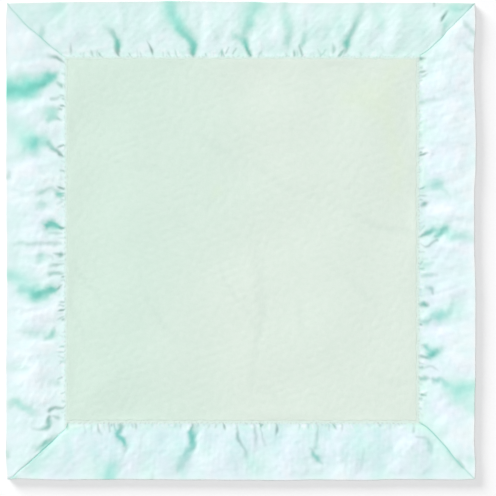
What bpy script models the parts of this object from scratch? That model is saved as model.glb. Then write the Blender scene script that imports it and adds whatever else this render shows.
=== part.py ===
"""A comfort blanket: two plush panels laid on each other, bound all round in wide satin.

X runs to the right and Y to the top for someone who looks down on the front. The blanket
lies on its back on Z = 0, with the origin under its middle. Each of the four satin strips is
a ribbon folded over the panels' edges: a back leaf, the outer fold and a front leaf that
stands proud in soft folds. Neighbouring strips meet in a mitre seam at each corner. One line
of stitching, close to the satin's inner edge, goes through all the layers.
"""

import math
from collections import namedtuple

import bmesh
import bpy
from mathutils import Vector

# The blanket, outer fold to outer fold, and the satin that shows on each side of the front
WIDTH = 0.404
LENGTH = 0.411
TRIM_TOP = 0.0486
TRIM_BOTTOM = 0.0508
TRIM_LEFT = 0.0524
TRIM_RIGHT = 0.0508
HEM_LIP = 0.0034  # satin between the stitch line and its inner edge

# The cloth and the thread
SATIN_THICKNESS = 0.0004
PLUSH_PRESSED = 0.0012  # each panel where the binding holds it
PLUSH_FREE = 0.0030  # each panel in the open middle
THREAD_DIAMETER = 0.0004
CLEARANCE = 0.0003  # between any two pieces that lie on each other
MITRE_GAP = 0.0006  # between the ends of two strips at a corner
FLOOR_GAP = 0.0001  # under the thread on the back

# How the cloth lies
FOLD_EASE = 0.0007  # the outer fold stands this much above the stitch line
PANEL_SETBACK = 0.0012  # from the curve of the outer fold to the panels' cut edges
BACK_RISE_RUN = 0.0050  # the back leaf lifts to its stitching over this distance
PLUSH_RISE_RUN = 0.0070  # a panel swells to its free thickness over this distance
PLUSH_WAVE = 0.0005  # height of the slow waves in the front panel
LOFT = 0.0040  # height of the front leaf's crown above its edges
FOLD_DEPTH = 0.0034  # of a strip's main folds
FOLD_WIDTH = 0.0115  # from the middle of a fold to its crest
MITRE_FADE = 0.0150  # the folds die out this near a corner seam
CREASE_RUN = 0.0060  # the crown sinks to the corner seam over this distance

# Counts
ALONG_STEPS = 68
PANEL_STEPS = 16
THREAD_SIDES_RESOLUTION = 1
CORNER_STEPS = 4

# Shares
CREASE_SHARE = 0.5  # of the crown that is lost at a corner seam
CREST_SHARE = 0.55  # height of the crest beside a fold, in fold depths
OUTER_FOLD_SHARE = 0.2  # of a fold's depth that is left at the outer fold
LEAF_ROW_SHARES = (0, 0.15, 0.35, 0.56, 0.79, 1)  # outer fold to stitch line
# The outer fold's section, in fold radii: in from the outermost point, and up from the floor
FOLD_SECTION_SHARES = ((1, 0), (0, 0.7), (0, 1.3), (1, 2))
SEAM_REACH_SHARE = 0.79  # how far in from the outer fold a corner seam's thread runs
TURN_RADIUS_SHARE = 0.04  # of the satin's width, at the corners of the stitch line
# The folds of each strip: the line of each one as shares of the strip's length and of the
# way from its outer edge to the stitch line, then its width and its depth
TOP_FOLD_SHARES = (
    (((0.209, 0.45), (0.235, 0.76)), 0.5, 0.45),
    (((0.348, 0.00), (0.365, 0.47), (0.395, 0.95)), 1.0, 1.0),
    (((0.534, 0.00), (0.500, 0.55), (0.518, 1.00)), 0.9, 0.9),
    (((0.592, 0.00), (0.601, 0.85)), 0.7, 0.5),
    (((0.757, 0.05), (0.729, 0.60), (0.712, 0.98)), 0.8, 0.9),
    (((0.865, 0.10), (0.880, 0.80)), 1.1, 0.4),
)
BOTTOM_FOLD_SHARES = (
    (((0.216, 0.02), (0.233, 0.60), (0.244, 0.98)), 0.9, 0.8),
    (((0.365, 0.20), (0.395, 0.62), (0.395, 1.00)), 0.9, 1.0),
    (((0.515, 0.15), (0.500, 0.95)), 1.0, 0.6),
    (((0.671, 0.28), (0.654, 0.55), (0.660, 0.95)), 0.7, 0.7),
    (((0.780, 0.10), (0.770, 0.70)), 1.2, 0.3),
    (((0.906, 0.50), (0.880, 0.78)), 0.6, 0.5),
)
LEFT_FOLD_SHARES = (
    (((0.182, 0.00), (0.180, 0.50), (0.149, 0.85)), 1.3, 1.1),
    (((0.258, 0.05), (0.292, 0.45), (0.310, 0.95)), 1.3, 1.1),
    (((0.403, 0.50), (0.395, 0.95)), 0.6, 0.5),
    (((0.466, 0.60), (0.470, 0.98)), 0.8, 1.0),
    (((0.571, 0.00), (0.605, 0.45), (0.594, 0.95)), 1.1, 1.1),
    (((0.693, 0.25), (0.697, 0.95)), 0.9, 0.5),
    (((0.842, 0.05), (0.859, 0.50)), 0.9, 0.8),
)
RIGHT_FOLD_SHARES = (
    (((0.208, 0.95), (0.205, 0.65)), 0.6, 0.4),
    (((0.388, 0.52), (0.383, 0.92)), 0.9, 0.7),
    (((0.490, 0.02), (0.478, 0.60), (0.487, 0.98)), 0.9, 0.9),
    (((0.630, 0.45), (0.657, 0.85)), 0.9, 0.7),
    (((0.731, 0.62), (0.722, 0.98)), 0.8, 0.7),
    (((0.820, 0.00), (0.808, 0.48), (0.789, 0.98)), 1.3, 0.9),
)
# The waves of the front panel: how many across X and across Y, and where each starts
WAVE_COUNTS = (1.7, 1.3)
WAVE_START_SHARES = (0.15, 0.40)

# Colours, as linear red, green and blue
SATIN_COLOUR = (0.62, 0.88, 0.88)
PLUSH_COLOUR = (0.72, 0.84, 0.74)
THREAD_COLOUR = (0.66, 0.88, 0.84)

# The layers at the stitch line, from the floor up
BACK_LEAF_RISE = FLOOR_GAP + THREAD_DIAMETER + CLEARANCE
BACK_PANEL_REST = BACK_LEAF_RISE + SATIN_THICKNESS + CLEARANCE
FRONT_PANEL_REST = BACK_PANEL_REST + PLUSH_PRESSED + CLEARANCE
FRONT_LEAF_REST = FRONT_PANEL_REST + PLUSH_PRESSED + CLEARANCE
STITCH_TOP = FRONT_LEAF_REST + SATIN_THICKNESS
FOLD_TOP = STITCH_TOP + FOLD_EASE
FOLD_RADIUS = FOLD_TOP / 2
PANEL_EDGE = FOLD_RADIUS + PANEL_SETBACK
THREAD_RADIUS = THREAD_DIAMETER / 2
SEAM_DEPTH = SATIN_THICKNESS + CLEARANCE + THREAD_RADIUS  # satin's outside to a seam's middle
TOWARDS_LIGHT = Vector((-1, 1)).normalized()  # every fold's crest is on this side of it

Side = namedtuple("Side", "name corner along across length trim before after folds")
SIDES = (
    Side("top", (-1, 1), (1, 0), (0, -1), WIDTH, TRIM_TOP, TRIM_LEFT, TRIM_RIGHT, TOP_FOLD_SHARES),
    Side(
        "bottom", (-1, -1), (1, 0), (0, 1), WIDTH, TRIM_BOTTOM, TRIM_LEFT, TRIM_RIGHT,
        BOTTOM_FOLD_SHARES,
    ),
    Side(
        "left", (-1, 1), (0, -1), (1, 0), LENGTH, TRIM_LEFT, TRIM_TOP, TRIM_BOTTOM,
        LEFT_FOLD_SHARES,
    ),
    Side(
        "right", (1, 1), (0, -1), (-1, 0), LENGTH, TRIM_RIGHT, TRIM_TOP, TRIM_BOTTOM,
        RIGHT_FOLD_SHARES,
    ),
)


def clear_scene():
    for thing in list(bpy.data.objects):
        bpy.data.objects.remove(thing, do_unlink=True)


def material(name, colour, roughness, sheen):
    made = bpy.data.materials.new(name)
    made.use_nodes = True
    shader = made.node_tree.nodes["Principled BSDF"]
    shader.inputs["Base Color"].default_value = (*colour, 1)
    shader.inputs["Roughness"].default_value = roughness
    shader.inputs["Metallic"].default_value = 0
    shader.inputs["Sheen Weight"].default_value = sheen
    made.diffuse_color = (*colour, 1)
    return made


def satin_material(name):
    return material(name, SATIN_COLOUR, 0.3, 0.2)


def plush_material(name):
    return material(name, PLUSH_COLOUR, 0.95, 0.6)


def thread_material(name):
    return material(name, THREAD_COLOUR, 0.5, 0.1)


def add_object(name, data, surface):
    made = bpy.data.objects.new(name, data)
    made.data.materials.append(surface)
    bpy.context.scene.collection.objects.link(made)
    return made


def mesh_object(name, bm, surface):
    mesh = bpy.data.meshes.new(name)
    bm.to_mesh(mesh)
    bm.free()
    mesh.shade_smooth()
    mesh.set_sharp_from_angle(angle=math.radians(50))
    return add_object(name, mesh, surface)


def on_side(side, along, across):
    """A point of the plane, from its distances along a side and in from its outer edge."""
    corner = Vector((side.corner[0] * WIDTH / 2, side.corner[1] * LENGTH / 2))
    return corner + Vector(side.along) * along + Vector(side.across) * across


def stitch_line(side):
    """Distance from a side's outer edge to its stitching."""
    return side.trim - HEM_LIP


def leaf_across(side, share):
    """Distance in from the outer edge at a share of the way from the fold to the stitching."""
    return FOLD_RADIUS + (stitch_line(side) - FOLD_RADIUS) * share


def nearest_distance(point, line):
    """Distance from a point of the plane to a line of straight runs."""
    best = math.inf
    for start, end in zip(line, line[1:]):
        run = end - start
        share = max(0, min(1, (point - start).dot(run) / run.length_squared))
        best = min(best, (point - start - run * share).length)
    return best


def bell(distance, width):
    return math.exp(-((distance / width) ** 2))


def fold_height(side, point):
    """What the folds add to the height of a strip's front leaf, before they fade."""
    height = 0
    for line_shares, width_share, depth_share in side.folds:
        line = [
            on_side(side, along * side.length, across * stitch_line(side))
            for along, across in line_shares
        ]
        width = FOLD_WIDTH * width_share
        hollow = bell(nearest_distance(point, line), width)
        crest = bell(nearest_distance(point - TOWARDS_LIGHT * width, line), width)
        height += FOLD_DEPTH * depth_share * (CREST_SHARE * crest - hollow)
    return height


def crown(share, from_seam):
    """Height of the smooth front leaf at a share of the way from the fold to the stitching."""
    edges = FOLD_TOP + (STITCH_TOP - FOLD_TOP) * share
    swell = math.sin(math.pi * share) ** 0.8 if 0 < share < 1 else 0
    return edges + LOFT * swell * (1 - CREASE_SHARE * bell(from_seam, CREASE_RUN))


def leaf_height(side, share, along, across):
    """Height of the satin's front, with its folds."""
    ways = across / side.trim
    from_seam = min(along - side.before * ways, side.length - side.after * ways - along)
    swell = math.sin(math.pi * share) ** 0.6 if 0 < share < 1 else 0
    if share < 0.5:
        swell = max(swell, OUTER_FOLD_SHARE)
    fade = swell * (1 - bell(from_seam, MITRE_FADE))
    return crown(share, from_seam) + fade * fold_height(side, on_side(side, along, across))


def strip_ends(side, across):
    """Where a strip starts and stops along its side, at a distance in from its outer edge."""
    ways = across / side.trim
    cut = MITRE_GAP / 2 * math.sqrt(2)
    return side.before * ways + cut, side.length - side.after * ways - cut


def strip_row(bm, side, across, height, steps):
    """One row of points along a strip, with its height given by a function of the place."""
    start, end = strip_ends(side, across)
    row = []
    for step in range(steps + 1):
        along = start + (end - start) * step / steps
        row.append(bm.verts.new((*on_side(side, along, across), height(along))))
    return row


def bridge(bm, first, second):
    """Faces between two rows that have the same number of points."""
    for i in range(len(first) - 1):
        bm.faces.new((first[i], first[i + 1], second[i + 1], second[i]))


def satin_strip(side):
    """One ribbon of satin, folded over the panels' edges."""
    bm = bmesh.new()
    foot = stitch_line(side) - BACK_RISE_RUN
    back_rows = [
        strip_row(bm, side, side.trim, lambda _: BACK_LEAF_RISE, 1),
        strip_row(bm, side, stitch_line(side), lambda _: BACK_LEAF_RISE, 1),
        strip_row(bm, side, foot, lambda _: 0, 1),
    ]
    fold_rows = [
        strip_row(bm, side, FOLD_RADIUS * inward, lambda _, up=up: FOLD_RADIUS * up, ALONG_STEPS)
        for inward, up in FOLD_SECTION_SHARES[:-1]
    ]
    front_rows = []
    for share in LEAF_ROW_SHARES:
        across = leaf_across(side, share)
        front_rows.append(
            strip_row(
                bm, side, across,
                lambda along, s=share, a=across: leaf_height(side, s, along, a),
                ALONG_STEPS,
            )
        )
    front_rows.append(strip_row(bm, side, side.trim, lambda _: STITCH_TOP, ALONG_STEPS))
    for first, second in zip(back_rows, back_rows[1:]):
        bridge(bm, first, second)
    bm.faces.new((*back_rows[-1], *reversed(fold_rows[0])))
    rows = fold_rows + front_rows
    for first, second in zip(rows, rows[1:]):
        bridge(bm, first, second)
    if Vector(side.along).cross(Vector(side.across)) < 0:
        bmesh.ops.reverse_faces(bm, faces=bm.faces)
    strip = mesh_object(f"trim_{side.name}", bm, satin_material(f"satin_{side.name}"))
    wall = strip.modifiers.new("satin", "SOLIDIFY")
    wall.thickness = SATIN_THICKNESS
    wall.offset = -1
    wall.use_even_offset = True
    return strip


def ring(bm, inset, height, steps):
    """A rectangle of points round the blanket, inset by a function of each side's satin."""
    left, right = inset(TRIM_LEFT) - WIDTH / 2, WIDTH / 2 - inset(TRIM_RIGHT)
    low, high = inset(TRIM_BOTTOM) - LENGTH / 2, LENGTH / 2 - inset(TRIM_TOP)
    corners = [Vector(c) for c in ((left, low), (right, low), (right, high), (left, high))]
    points = []
    for start, end in zip(corners, corners[1:] + corners[:1]):
        points += [start.lerp(end, step / steps) for step in range(steps)]
    return [bm.verts.new((*point, height)) for point in points]


def close_ring(row):
    return row + row[:1]


def wave(x, y):
    """The slow waves of a soft panel that lies loose."""
    a = WAVE_COUNTS[0] * x / WIDTH + WAVE_START_SHARES[0]
    b = WAVE_COUNTS[1] * y / LENGTH + WAVE_START_SHARES[1]
    return PLUSH_WAVE * math.sin(2 * math.pi * a) * math.sin(2 * math.pi * b)


def fill_waved(bm, edge, height, steps):
    """The middle of a panel inside a ring of points, as a square grid with slow waves."""
    grid = [[None] * (steps + 1) for _ in range(steps + 1)]
    for i in range(steps + 1):
        grid[0][i] = edge[i]
        grid[steps][i] = edge[3 * steps - i]
        grid[i][0] = edge[-i % (4 * steps)]
        grid[i][steps] = edge[steps + i]
    low, high = grid[0][0].co, grid[steps][steps].co
    for j in range(1, steps):
        for i in range(1, steps):
            x = low.x + (high.x - low.x) * i / steps
            y = low.y + (high.y - low.y) * j / steps
            grid[j][i] = bm.verts.new((x, y, height + wave(x, y)))
    for first, second in zip(grid, grid[1:]):
        bridge(bm, first, second)


def panel(name, rest, free_rest, steps, waved):
    """A plush panel: thin inside the binding, swollen in the open middle.

    rest is the height of its underside inside the binding, free_rest that in the middle.
    """
    bm = bmesh.new()
    insets = (
        lambda trim: PANEL_EDGE,
        lambda trim: trim + CLEARANCE,
        lambda trim: trim + CLEARANCE + PLUSH_RISE_RUN,
    )
    lows = (rest, rest, free_rest)
    highs = (rest + PLUSH_PRESSED, rest + PLUSH_PRESSED, free_rest + PLUSH_FREE)
    under = [ring(bm, inset, height, 1) for inset, height in zip(insets, lows)]
    upper = [ring(bm, inset, height, steps) for inset, height in zip(insets, highs)]
    for first, second in zip(upper, upper[1:]):
        bridge(bm, close_ring(first), close_ring(second))
    for first, second in zip(under, under[1:]):
        bridge(bm, close_ring(second), close_ring(first))
    bm.faces.new(reversed(under[-1]))
    if waved:
        fill_waved(bm, upper[-1], highs[-1], steps)
    else:
        bm.faces.new(upper[-1])
    top, foot = close_ring(upper[0]), close_ring(under[0])
    for side in range(4):
        edge = top[side * steps : (side + 1) * steps + 1]
        bm.faces.new((foot[side], foot[side + 1], *reversed(edge)))
    return mesh_object(name, bm, plush_material(name))


def tube(name, points, closed):
    """A round thread through a list of points."""
    curve = bpy.data.curves.new(name, "CURVE")
    curve.dimensions = "3D"
    curve.bevel_depth = THREAD_RADIUS
    curve.bevel_resolution = THREAD_SIDES_RESOLUTION
    curve.use_fill_caps = True
    spline = curve.splines.new("POLY")
    spline.points.add(len(points) - 1)
    for slot, point in zip(spline.points, points):
        slot.co = (*point, 1)
    spline.use_cyclic_u = closed
    spline.use_smooth = True
    return add_object(name, curve, thread_material(name))


def stitch_loop(name, height):
    """The stitch line all round, with a small turn at each corner."""
    left, right = TRIM_LEFT - HEM_LIP - WIDTH / 2, WIDTH / 2 - TRIM_RIGHT + HEM_LIP
    low, high = TRIM_BOTTOM - HEM_LIP - LENGTH / 2, LENGTH / 2 - TRIM_TOP + HEM_LIP
    radius = TURN_RADIUS_SHARE * TRIM_TOP
    middles = (
        (right - radius, high - radius), (left + radius, high - radius),
        (left + radius, low + radius), (right - radius, low + radius),
    )
    points = []
    for quarter, (x, y) in enumerate(middles):
        for step in range(CORNER_STEPS + 1):
            turn = math.pi / 2 * (quarter + step / CORNER_STEPS)
            points.append((x + radius * math.cos(turn), y + radius * math.sin(turn), height))
    return tube(name, points, True)


def corner_point(level, upright, ways, height):
    """A point over a corner's seam, which runs from the outer corner to the inner one.

    ways is the share of each strip's own width, so the seam crosses both strips evenly.
    """
    x = upright.corner[0] * (WIDTH / 2 - upright.trim * ways)
    y = level.corner[1] * (LENGTH / 2 - level.trim * ways)
    return (x, y, height)


def seam_thread(level, upright):
    """The thread of a corner seam: under the front leaf, round inside the fold and back."""
    front = [
        (leaf_across(level, share) / level.trim, crown(share, 0) - SEAM_DEPTH)
        for share in reversed(LEAF_ROW_SHARES)
        if share <= SEAM_REACH_SHARE
    ]
    turn = (SEAM_DEPTH + CLEARANCE) / min(level.trim, upright.trim)
    low, high = (up * FOLD_RADIUS for _, up in FOLD_SECTION_SHARES[1:3])
    inside = [(turn, high), (turn, low)]
    back = [(front[-1][0], SEAM_DEPTH), (front[0][0], SEAM_DEPTH)]
    route = [corner_point(level, upright, *place) for place in front + inside + back]
    return tube(f"mitre_stitching_{level.name}_{upright.name}", route, False)


def build():
    clear_scene()
    top, bottom, left, right = SIDES
    for side in SIDES:
        satin_strip(side)
    panel("back_panel", BACK_PANEL_REST, 0, 1, False)
    panel("front_panel", FRONT_PANEL_REST, PLUSH_FREE + CLEARANCE, PANEL_STEPS, True)
    for level in (top, bottom):
        for upright in (left, right):
            seam_thread(level, upright)
    stitch_loop("topstitch_needle_thread", STITCH_TOP + CLEARANCE + THREAD_RADIUS)
    stitch_loop("topstitch_bobbin_thread", FLOOR_GAP + THREAD_RADIUS)


build()
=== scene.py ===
"""The looks of a comfort blanket: rippled satin binding, short plush, its stitches and stage.

Laid out as a Blender add-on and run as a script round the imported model. Lengths are metres.
"""

import math
from collections import namedtuple

import bpy
import numpy as np
from bpy.props import FloatProperty, FloatVectorProperty, IntProperty, PointerProperty
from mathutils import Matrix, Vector


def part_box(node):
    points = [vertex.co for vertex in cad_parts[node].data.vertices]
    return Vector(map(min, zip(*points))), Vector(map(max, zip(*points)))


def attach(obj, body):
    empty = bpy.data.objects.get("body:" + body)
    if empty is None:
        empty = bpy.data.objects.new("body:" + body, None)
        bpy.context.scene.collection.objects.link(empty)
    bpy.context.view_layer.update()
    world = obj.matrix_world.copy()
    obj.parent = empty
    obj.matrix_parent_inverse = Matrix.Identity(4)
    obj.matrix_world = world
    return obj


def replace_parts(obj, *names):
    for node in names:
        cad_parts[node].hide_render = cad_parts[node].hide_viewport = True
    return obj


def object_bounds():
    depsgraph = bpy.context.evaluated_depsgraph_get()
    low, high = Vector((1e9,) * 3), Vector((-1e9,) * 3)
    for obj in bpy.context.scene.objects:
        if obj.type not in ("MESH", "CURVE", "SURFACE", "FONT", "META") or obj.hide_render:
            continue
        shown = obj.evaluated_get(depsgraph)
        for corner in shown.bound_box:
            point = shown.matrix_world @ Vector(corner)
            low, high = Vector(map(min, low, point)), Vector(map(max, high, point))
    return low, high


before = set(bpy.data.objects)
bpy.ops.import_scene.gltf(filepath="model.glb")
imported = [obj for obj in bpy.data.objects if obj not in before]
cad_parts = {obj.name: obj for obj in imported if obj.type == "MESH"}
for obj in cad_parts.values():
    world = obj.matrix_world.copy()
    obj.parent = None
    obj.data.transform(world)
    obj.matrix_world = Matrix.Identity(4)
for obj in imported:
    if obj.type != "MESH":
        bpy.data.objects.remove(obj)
CAD_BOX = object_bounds()

bl_info = {
    "name": "Comfort Blanket",
    "version": (1, 0, 0),
    "blender": (4, 5, 0),
    "location": "3D View > Sidebar > Blanket",
    "description": "Dresses a satin-bound comfort blanket",
    "category": "Add Mesh",
}

MM = 0.001
TINY = 1e-9  # keeps a divisor off zero
BODY = "root"
SEED_STEP = 100  # from the chance numbers of one strip to those of the next

# Sizes read from the frame
LOW, HIGH = CAD_BOX
WIDTH = HIGH.x - LOW.x
LENGTH = HIGH.y - LOW.y
THREAD_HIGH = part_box("topstitch_needle_thread")[1]
TRIMS = {name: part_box("trim_" + name) for name in ("top", "bottom", "left", "right")}
TRIM_TOP = HIGH.y - TRIMS["top"][0].y
TRIM_BOTTOM = TRIMS["bottom"][1].y - LOW.y
TRIM_LEFT = TRIMS["left"][1].x - LOW.x
TRIM_RIGHT = HIGH.x - TRIMS["right"][0].x

# The cloth and the thread in section, as the frame has them
CLEARANCE = 0.3 * MM
SATIN_THICKNESS = 0.4 * MM
THREAD_DIAMETER = 0.4 * MM
HEM_LIP = TRIM_TOP - (HIGH.y - THREAD_HIGH.y) - THREAD_DIAMETER / 2
STITCH_TOP = 4.9 * MM
BACK_RISE = 0.8 * MM
BACK_RISE_RUN = 5.0 * MM
PANEL_TOP = 4.2 * MM  # of the front panel, where the binding holds it
FOLD_TOP = 5.6 * MM
FOLD_RADIUS = FOLD_TOP / 2
PANEL_SETBACK = 1.2 * MM
PANEL_EDGE = FOLD_RADIUS + PANEL_SETBACK
PANEL_PRESSED = 1.2 * MM
BACK_PANEL_REST = 1.5 * MM
FRONT_PANEL_REST = 3.0 * MM
PLUSH_RISE_RUN = 7.0 * MM

# The plush's surface
PILE_STEP = 0.03 * MM  # where beside the satin the pile starts to rise, and over what distance
PILE_SWELL = 0.5 * MM  # how far the open pile swells above the satin's edge
PILE_SWELL_RUN = 60 * MM
PILE_LIP = 0.055 * MM  # how far the pile stands up at once beside the satin's edge
PILE_LIP_RUN = 0.7 * MM
PILE_ROUGHNESS = 0.03 * MM
# The mesh's lines beside the binding, in millimetres inside it
PILE_LINES = (-1.0, 0.03, 0.06, 0.1, 0.3, 0.5, 0.7, 1.0, 1.6, 2.4, 3.6, 5.0, 7.0)
BACK_PANEL_STEPS = 3  # how much wider the mesh of the back panel is
LIP_PULL = 5 * MM  # how far from the satin's inner edge the plush goes along with its straying
MARK_STRAY = 1.6 * MM  # how far the plush's marks stray from their lines
MARK_STREAK = 1.1  # their reach in half widths

# The satin's edges
LIP_STRAY = 0.35 * MM  # how far the satin's inner edge strays from straight
LIP_STRAY_RUN = 10 * MM  # and over what distance from the corners it begins to
LIP_ROUND = 0.03 * MM  # how far the lip rises between the stitches and its edge
LIP_DASHES = 0.22  # how dark the small shadows between the stitches are
LIP_TONE, LIP_TONE_VARIES = 0.26, 0.12
FOLD_REACH = 0.55 * MM  # how far in from its edge the satin is still turning
EDGE_REACH = 1.8 * MM  # how far in from the outer fold the satin looks paler and greyer
EDGE_ROW = 0.12 * MM  # the mesh's second line follows an edge this close and keeps it crisp
SWAY_REACH = 0.03  # how far along each point of the edge's sway acts, as a share of the side
SWAY_DEPTH = 20 * MM  # how far in from the edge the satin sways with it
SWAY_RUN = 10 * MM  # how far from a corner seam the sway begins
LEAF_ROWS, ROWS_DRAWN_IN = 51, 0.15  # the front leaf's rows, closer towards the stitching
LIP_ROW_SHARES = (0.2, 0.4, 0.6, 0.8, 0.985, 1)
FOLD_ROWS, HEM_ROWS, BACK_ROWS = 10, 3, 12
BACK_LINES = (1.2, 2.5, 3.8, 5, 9)  # the back leaf's rows beside the stitching, millimetres off it
BACK_FIRST, BACK_LAST = 13 * MM, 1 * MM  # its other rows, off the stitching and off the fold
DASH_PLACE, DASH_REACH = 0.35, 0.35  # on the lip, from the stitches to its edge
LIP_SHADE_PLACE = 0.9
NAP_STEEP, NAP_BLEND_STEEP = 1.1, 3
BACK_RIPPLE = 0.14 * MM
BACK_RIPPLE_RUN = 6 * MM
BACK_TONE, BACK_TONE_VARIES = 0.15, 0.1

# Chance waves: the shortest and the longest, and how many of them are laid over each other. Where
# there are two kinds, each has its strength before it.
LIP_STRAYS = (6 * MM, 14 * MM, 14)
LIP_ROUNDS = (3 * MM, 9 * MM, 20)
LIP_DASH_WAVES = (1.8 * MM, 4.5 * MM, 30)
FOLD_STRAYS = ((0.9 * MM, (8 * MM, 24 * MM, 9)), (0.3 * MM, (2.5 * MM, 7 * MM, 24)))
SATIN_RIPPLES = (20 * MM, 50 * MM, 12)
SATIN_CRINKLES = (4 * MM, 10 * MM, 24)
BACK_RIPPLES = (9 * MM, 24 * MM, 16)
TONE_DRIFTS = ((0.045, (12 * MM, 40 * MM, 16)), (0.02, (3 * MM, 8 * MM, 16)))
TINT_DRIFTS = (20 * MM, 60 * MM, 16)
SEWN_PATCHES = (3 * MM, 9 * MM, 30)
MARK_STRAYS = (5 * MM, 16 * MM, 24)
PLUSH_WAVES = (50 * MM, 150 * MM, 12)
PLUSH_TUFTS = (3 * MM, 9 * MM, 60)
VEERING = 0.6  # how far waves that run mostly one way veer from it
SATIN_CRINKLE = 0.04 * MM  # height of the satin's small chance waves
TINT_VARIES = 0.35

# Colours in linear light, first those of the satin: aqua under a painted sheen, from a full
# painted gleam down to the painted shade of its deepest folds
SATIN_TONES = (
    (0.0, (0.876, 0.962, 0.985)), (0.12, (0.799, 0.943, 0.967)), (0.25, (0.731, 0.922, 0.909)),
    (0.45, (0.583, 0.887, 0.834)), (0.7, (0.384, 0.814, 0.731)), (0.88, (0.262, 0.751, 0.653)),
    (1.0, (0.203, 0.696, 0.583)),
)
SATIN_COOL = (1.0, 0.945, 1.0)
SATIN_WARM = (1.0, 1.02, 0.992)
SATIN_EDGE = (1.05, 0.964, 0.94)  # along the outer fold
SATIN_SEWN = (0.985, 1.03, 1.0)  # beside the stitching
SATIN_SEWN_WARM = (1.012, 1.0, 0.96)  # and there on the two sides away from the light
SEWN_REACH = 5.0 * MM
SEWN, SEWN_VARIES = 0.85, 0.5
SATIN_SHADE = (0.42, 0.358, 0.378)  # what the seams and the narrow puckers leave of the light
DARKEST = 0.99  # of one fold alone, so that folds that cross still add up
SHADE_POWER = 1.3  # how much faster than its darkness a fold's shade grows
SHADED_WIDTHS = ((2.4 * MM, 5.4 * MM, 10 * MM, 15 * MM), (1, 0.27, 0.16, 0))  # the wider, the less
SHADE_FOR_TONE = 0.42  # how much of its turquoise a fully shaded fold loses
TONE_POWER = 2.5  # by which the tones of folds that cross add up
GLEAM_FOR_TONE = 0.4  # how much tone a full painted gleam takes away
SATIN_DIMMED_REFLECTION = (0.962, 0.968, 0.97)  # painted dimming of the reflection along the edges that mirror least of the overhead light
# Where those edges are: factors of X and of Y in metres, and what is added
FAR_UPPER, FAR_LEFT = (-4.8, 40.0, -6.9), (-40.0, 24.0, -9.9)
FAR_LEFT_SHARE = 0.7
LIP_COLOUR = (0.735, 0.885, 0.805)
PLUSH_PALE, PLUSH_PALE_SHARE = (1.06, 1.03, 1.05), 0.5
PLUSH_DARK, PLUSH_DARK_SHARE = (0.86, 0.89, 0.87), 0.3
# Where the plush is warm, pale or dark: factors of X in metres or of the noise, and what is added
PLUSH_WARM_BY, PLUSH_PALE_BY, PLUSH_DARK_BY = (9.0, 1.6), (1.6, 4.6, -2.6), (1.4, 0.4, -0.5)
TWISTS = 900.0
THREAD_FURROW_SHADE = 0.8  # painted shade: what the furrows of its twist leave of the thread's colour
# What the cloths and the thread have for a grain: its height, and how strong it is
WEAVE_BUMP, PILE_BUMP, PLY_BUMP = (0.03 * MM, 0.5), (0.2 * MM, 0.45), (0.05 * MM, 0.5)

# Noise: its scale, its detail and its roughness
WEAVE = (1.0, 2.0)
PATCHES, SLOW, TUFTS = (11.0, 3.0, 0.62), (5.0, 1.0), (1900.0, 2.0, 0.7)
NAP, MOTTLE = (240.0, 2.0), (170.0, 2.0, 0.6)
THREADS_ALONG, THREADS_ACROSS = 160.0, 2600.0  # how often the weave varies in a metre

THREE_PLACES = (0, 0.5, 1)  # by a strip's outer fold, midway and by its stitching
# How far each strip's painted sheen falls short of a full gleam at those places
TONES = {
    "top": (0.21, 0.23, 0.22), "left": (0.14, 0.175, 0.125), "bottom": (0.18, 0.33, 0.33),
    "right": (0.06, 0.19, 0.27),
}
# How much cooler than usual each strip looks there, or if below zero warmer
TINTS = {
    "top": (-1.0, -0.8, -0.8), "left": (-0.3, 0.0, -0.5), "bottom": (0.1, 0.6, 1.0),
    "right": (-0.3, 0.2, 0.6),
}
# How much further out the plush's colour reaches over each strip's inner edge, and the edge's
# painted shade; both only where that edge faces the light
LIP_BLENDS = {"top": (0.0, 0.0), "left": (0.0, 0.0), "bottom": (0.3, 0.06), "right": (0.25, 0.07)}

# A fold's relief: a hollow, and on the side towards the light a crest
TOWARDS_LIGHT = np.array((-0.695, 0.719))
FOLD_SHIFT = 0.4  # how far the hollow and the crest lie from the line, as a share of the width
FOLD_MARGIN = 2.2  # how far round its line a fold acts, in widths
STREAK, RELIEF = 1.2, 1.25  # the reach of its painted shade and gleam and of its relief, in half widths
RELIEF_WIDTH = 6.5 * MM  # wider folds are no deeper
RELIEF_LEAST = 0.15  # the share of its relief that a fold has, however pale it looks
CREST_SHARE = 0.5  # height of the crest, in depths of the hollow
SWELLING = 0.05  # height of a swelling, as a share of its width
STRAY_WIDTH = 7 * MM  # narrower folds stray less from their lines
CURVE_STEPS = 4  # from one point of a fold to the next
HELD_BY_STITCHES, HELD_BY_EDGE, EDGE_FREE = 0.07, 0.15, 0.3  # shares of the way across
HELD_BY_SEAM = 4 * MM
LEAST_SOFT, MORE_SOFT, SOFT_RUN = 0.03 * MM, 0.27 * MM, 0.2  # how softly it lies on the panel
CROWN_LOSS, CROWN_RUN = 0.4, 6 * MM  # how much of its crown the satin loses at a corner seam

# The chance creases: across the satin's middle, and short ones by the stitching. Their tones
# are painted shade, and below zero a painted gleam
CREASE_PLACES = ((0.1, 0.9), (0.15, 0.9))
CREASE_LEAN, CREASE_BEND = 0.35, 0.25
CREASE_REACH, CREASE_WIDTH = (6, 18), (3, 9)
CREASE_TONES, CREASE_STRENGTH = (-0.3, 0.1), (0.3, 1.2)
CREASE_STEPS = (-1, -0.5, 0, 0.5, 1)
CREASE_THINS, CREASE_FADES = 0.5, 0.7
PUCKERS_FROM, PUCKERS_TO, PUCKER_GAP = 0.13, 0.87, (0.005, 0.009)
PUCKER_REST, PUCKER_BUSY, PUCKER_BEAT = 0.35, 0.65, 37
PUCKER_REACH, PUCKER_TONE, PUCKER_WIDTH = (0.04, 0.15), (-0.9, 0.75), (1.3, 2.3)
PUCKER_LEAN, PUCKER_START = 0.004, 1.02
PUCKER_TIP, PUCKER_FADE = 0.8, 0.3

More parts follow.
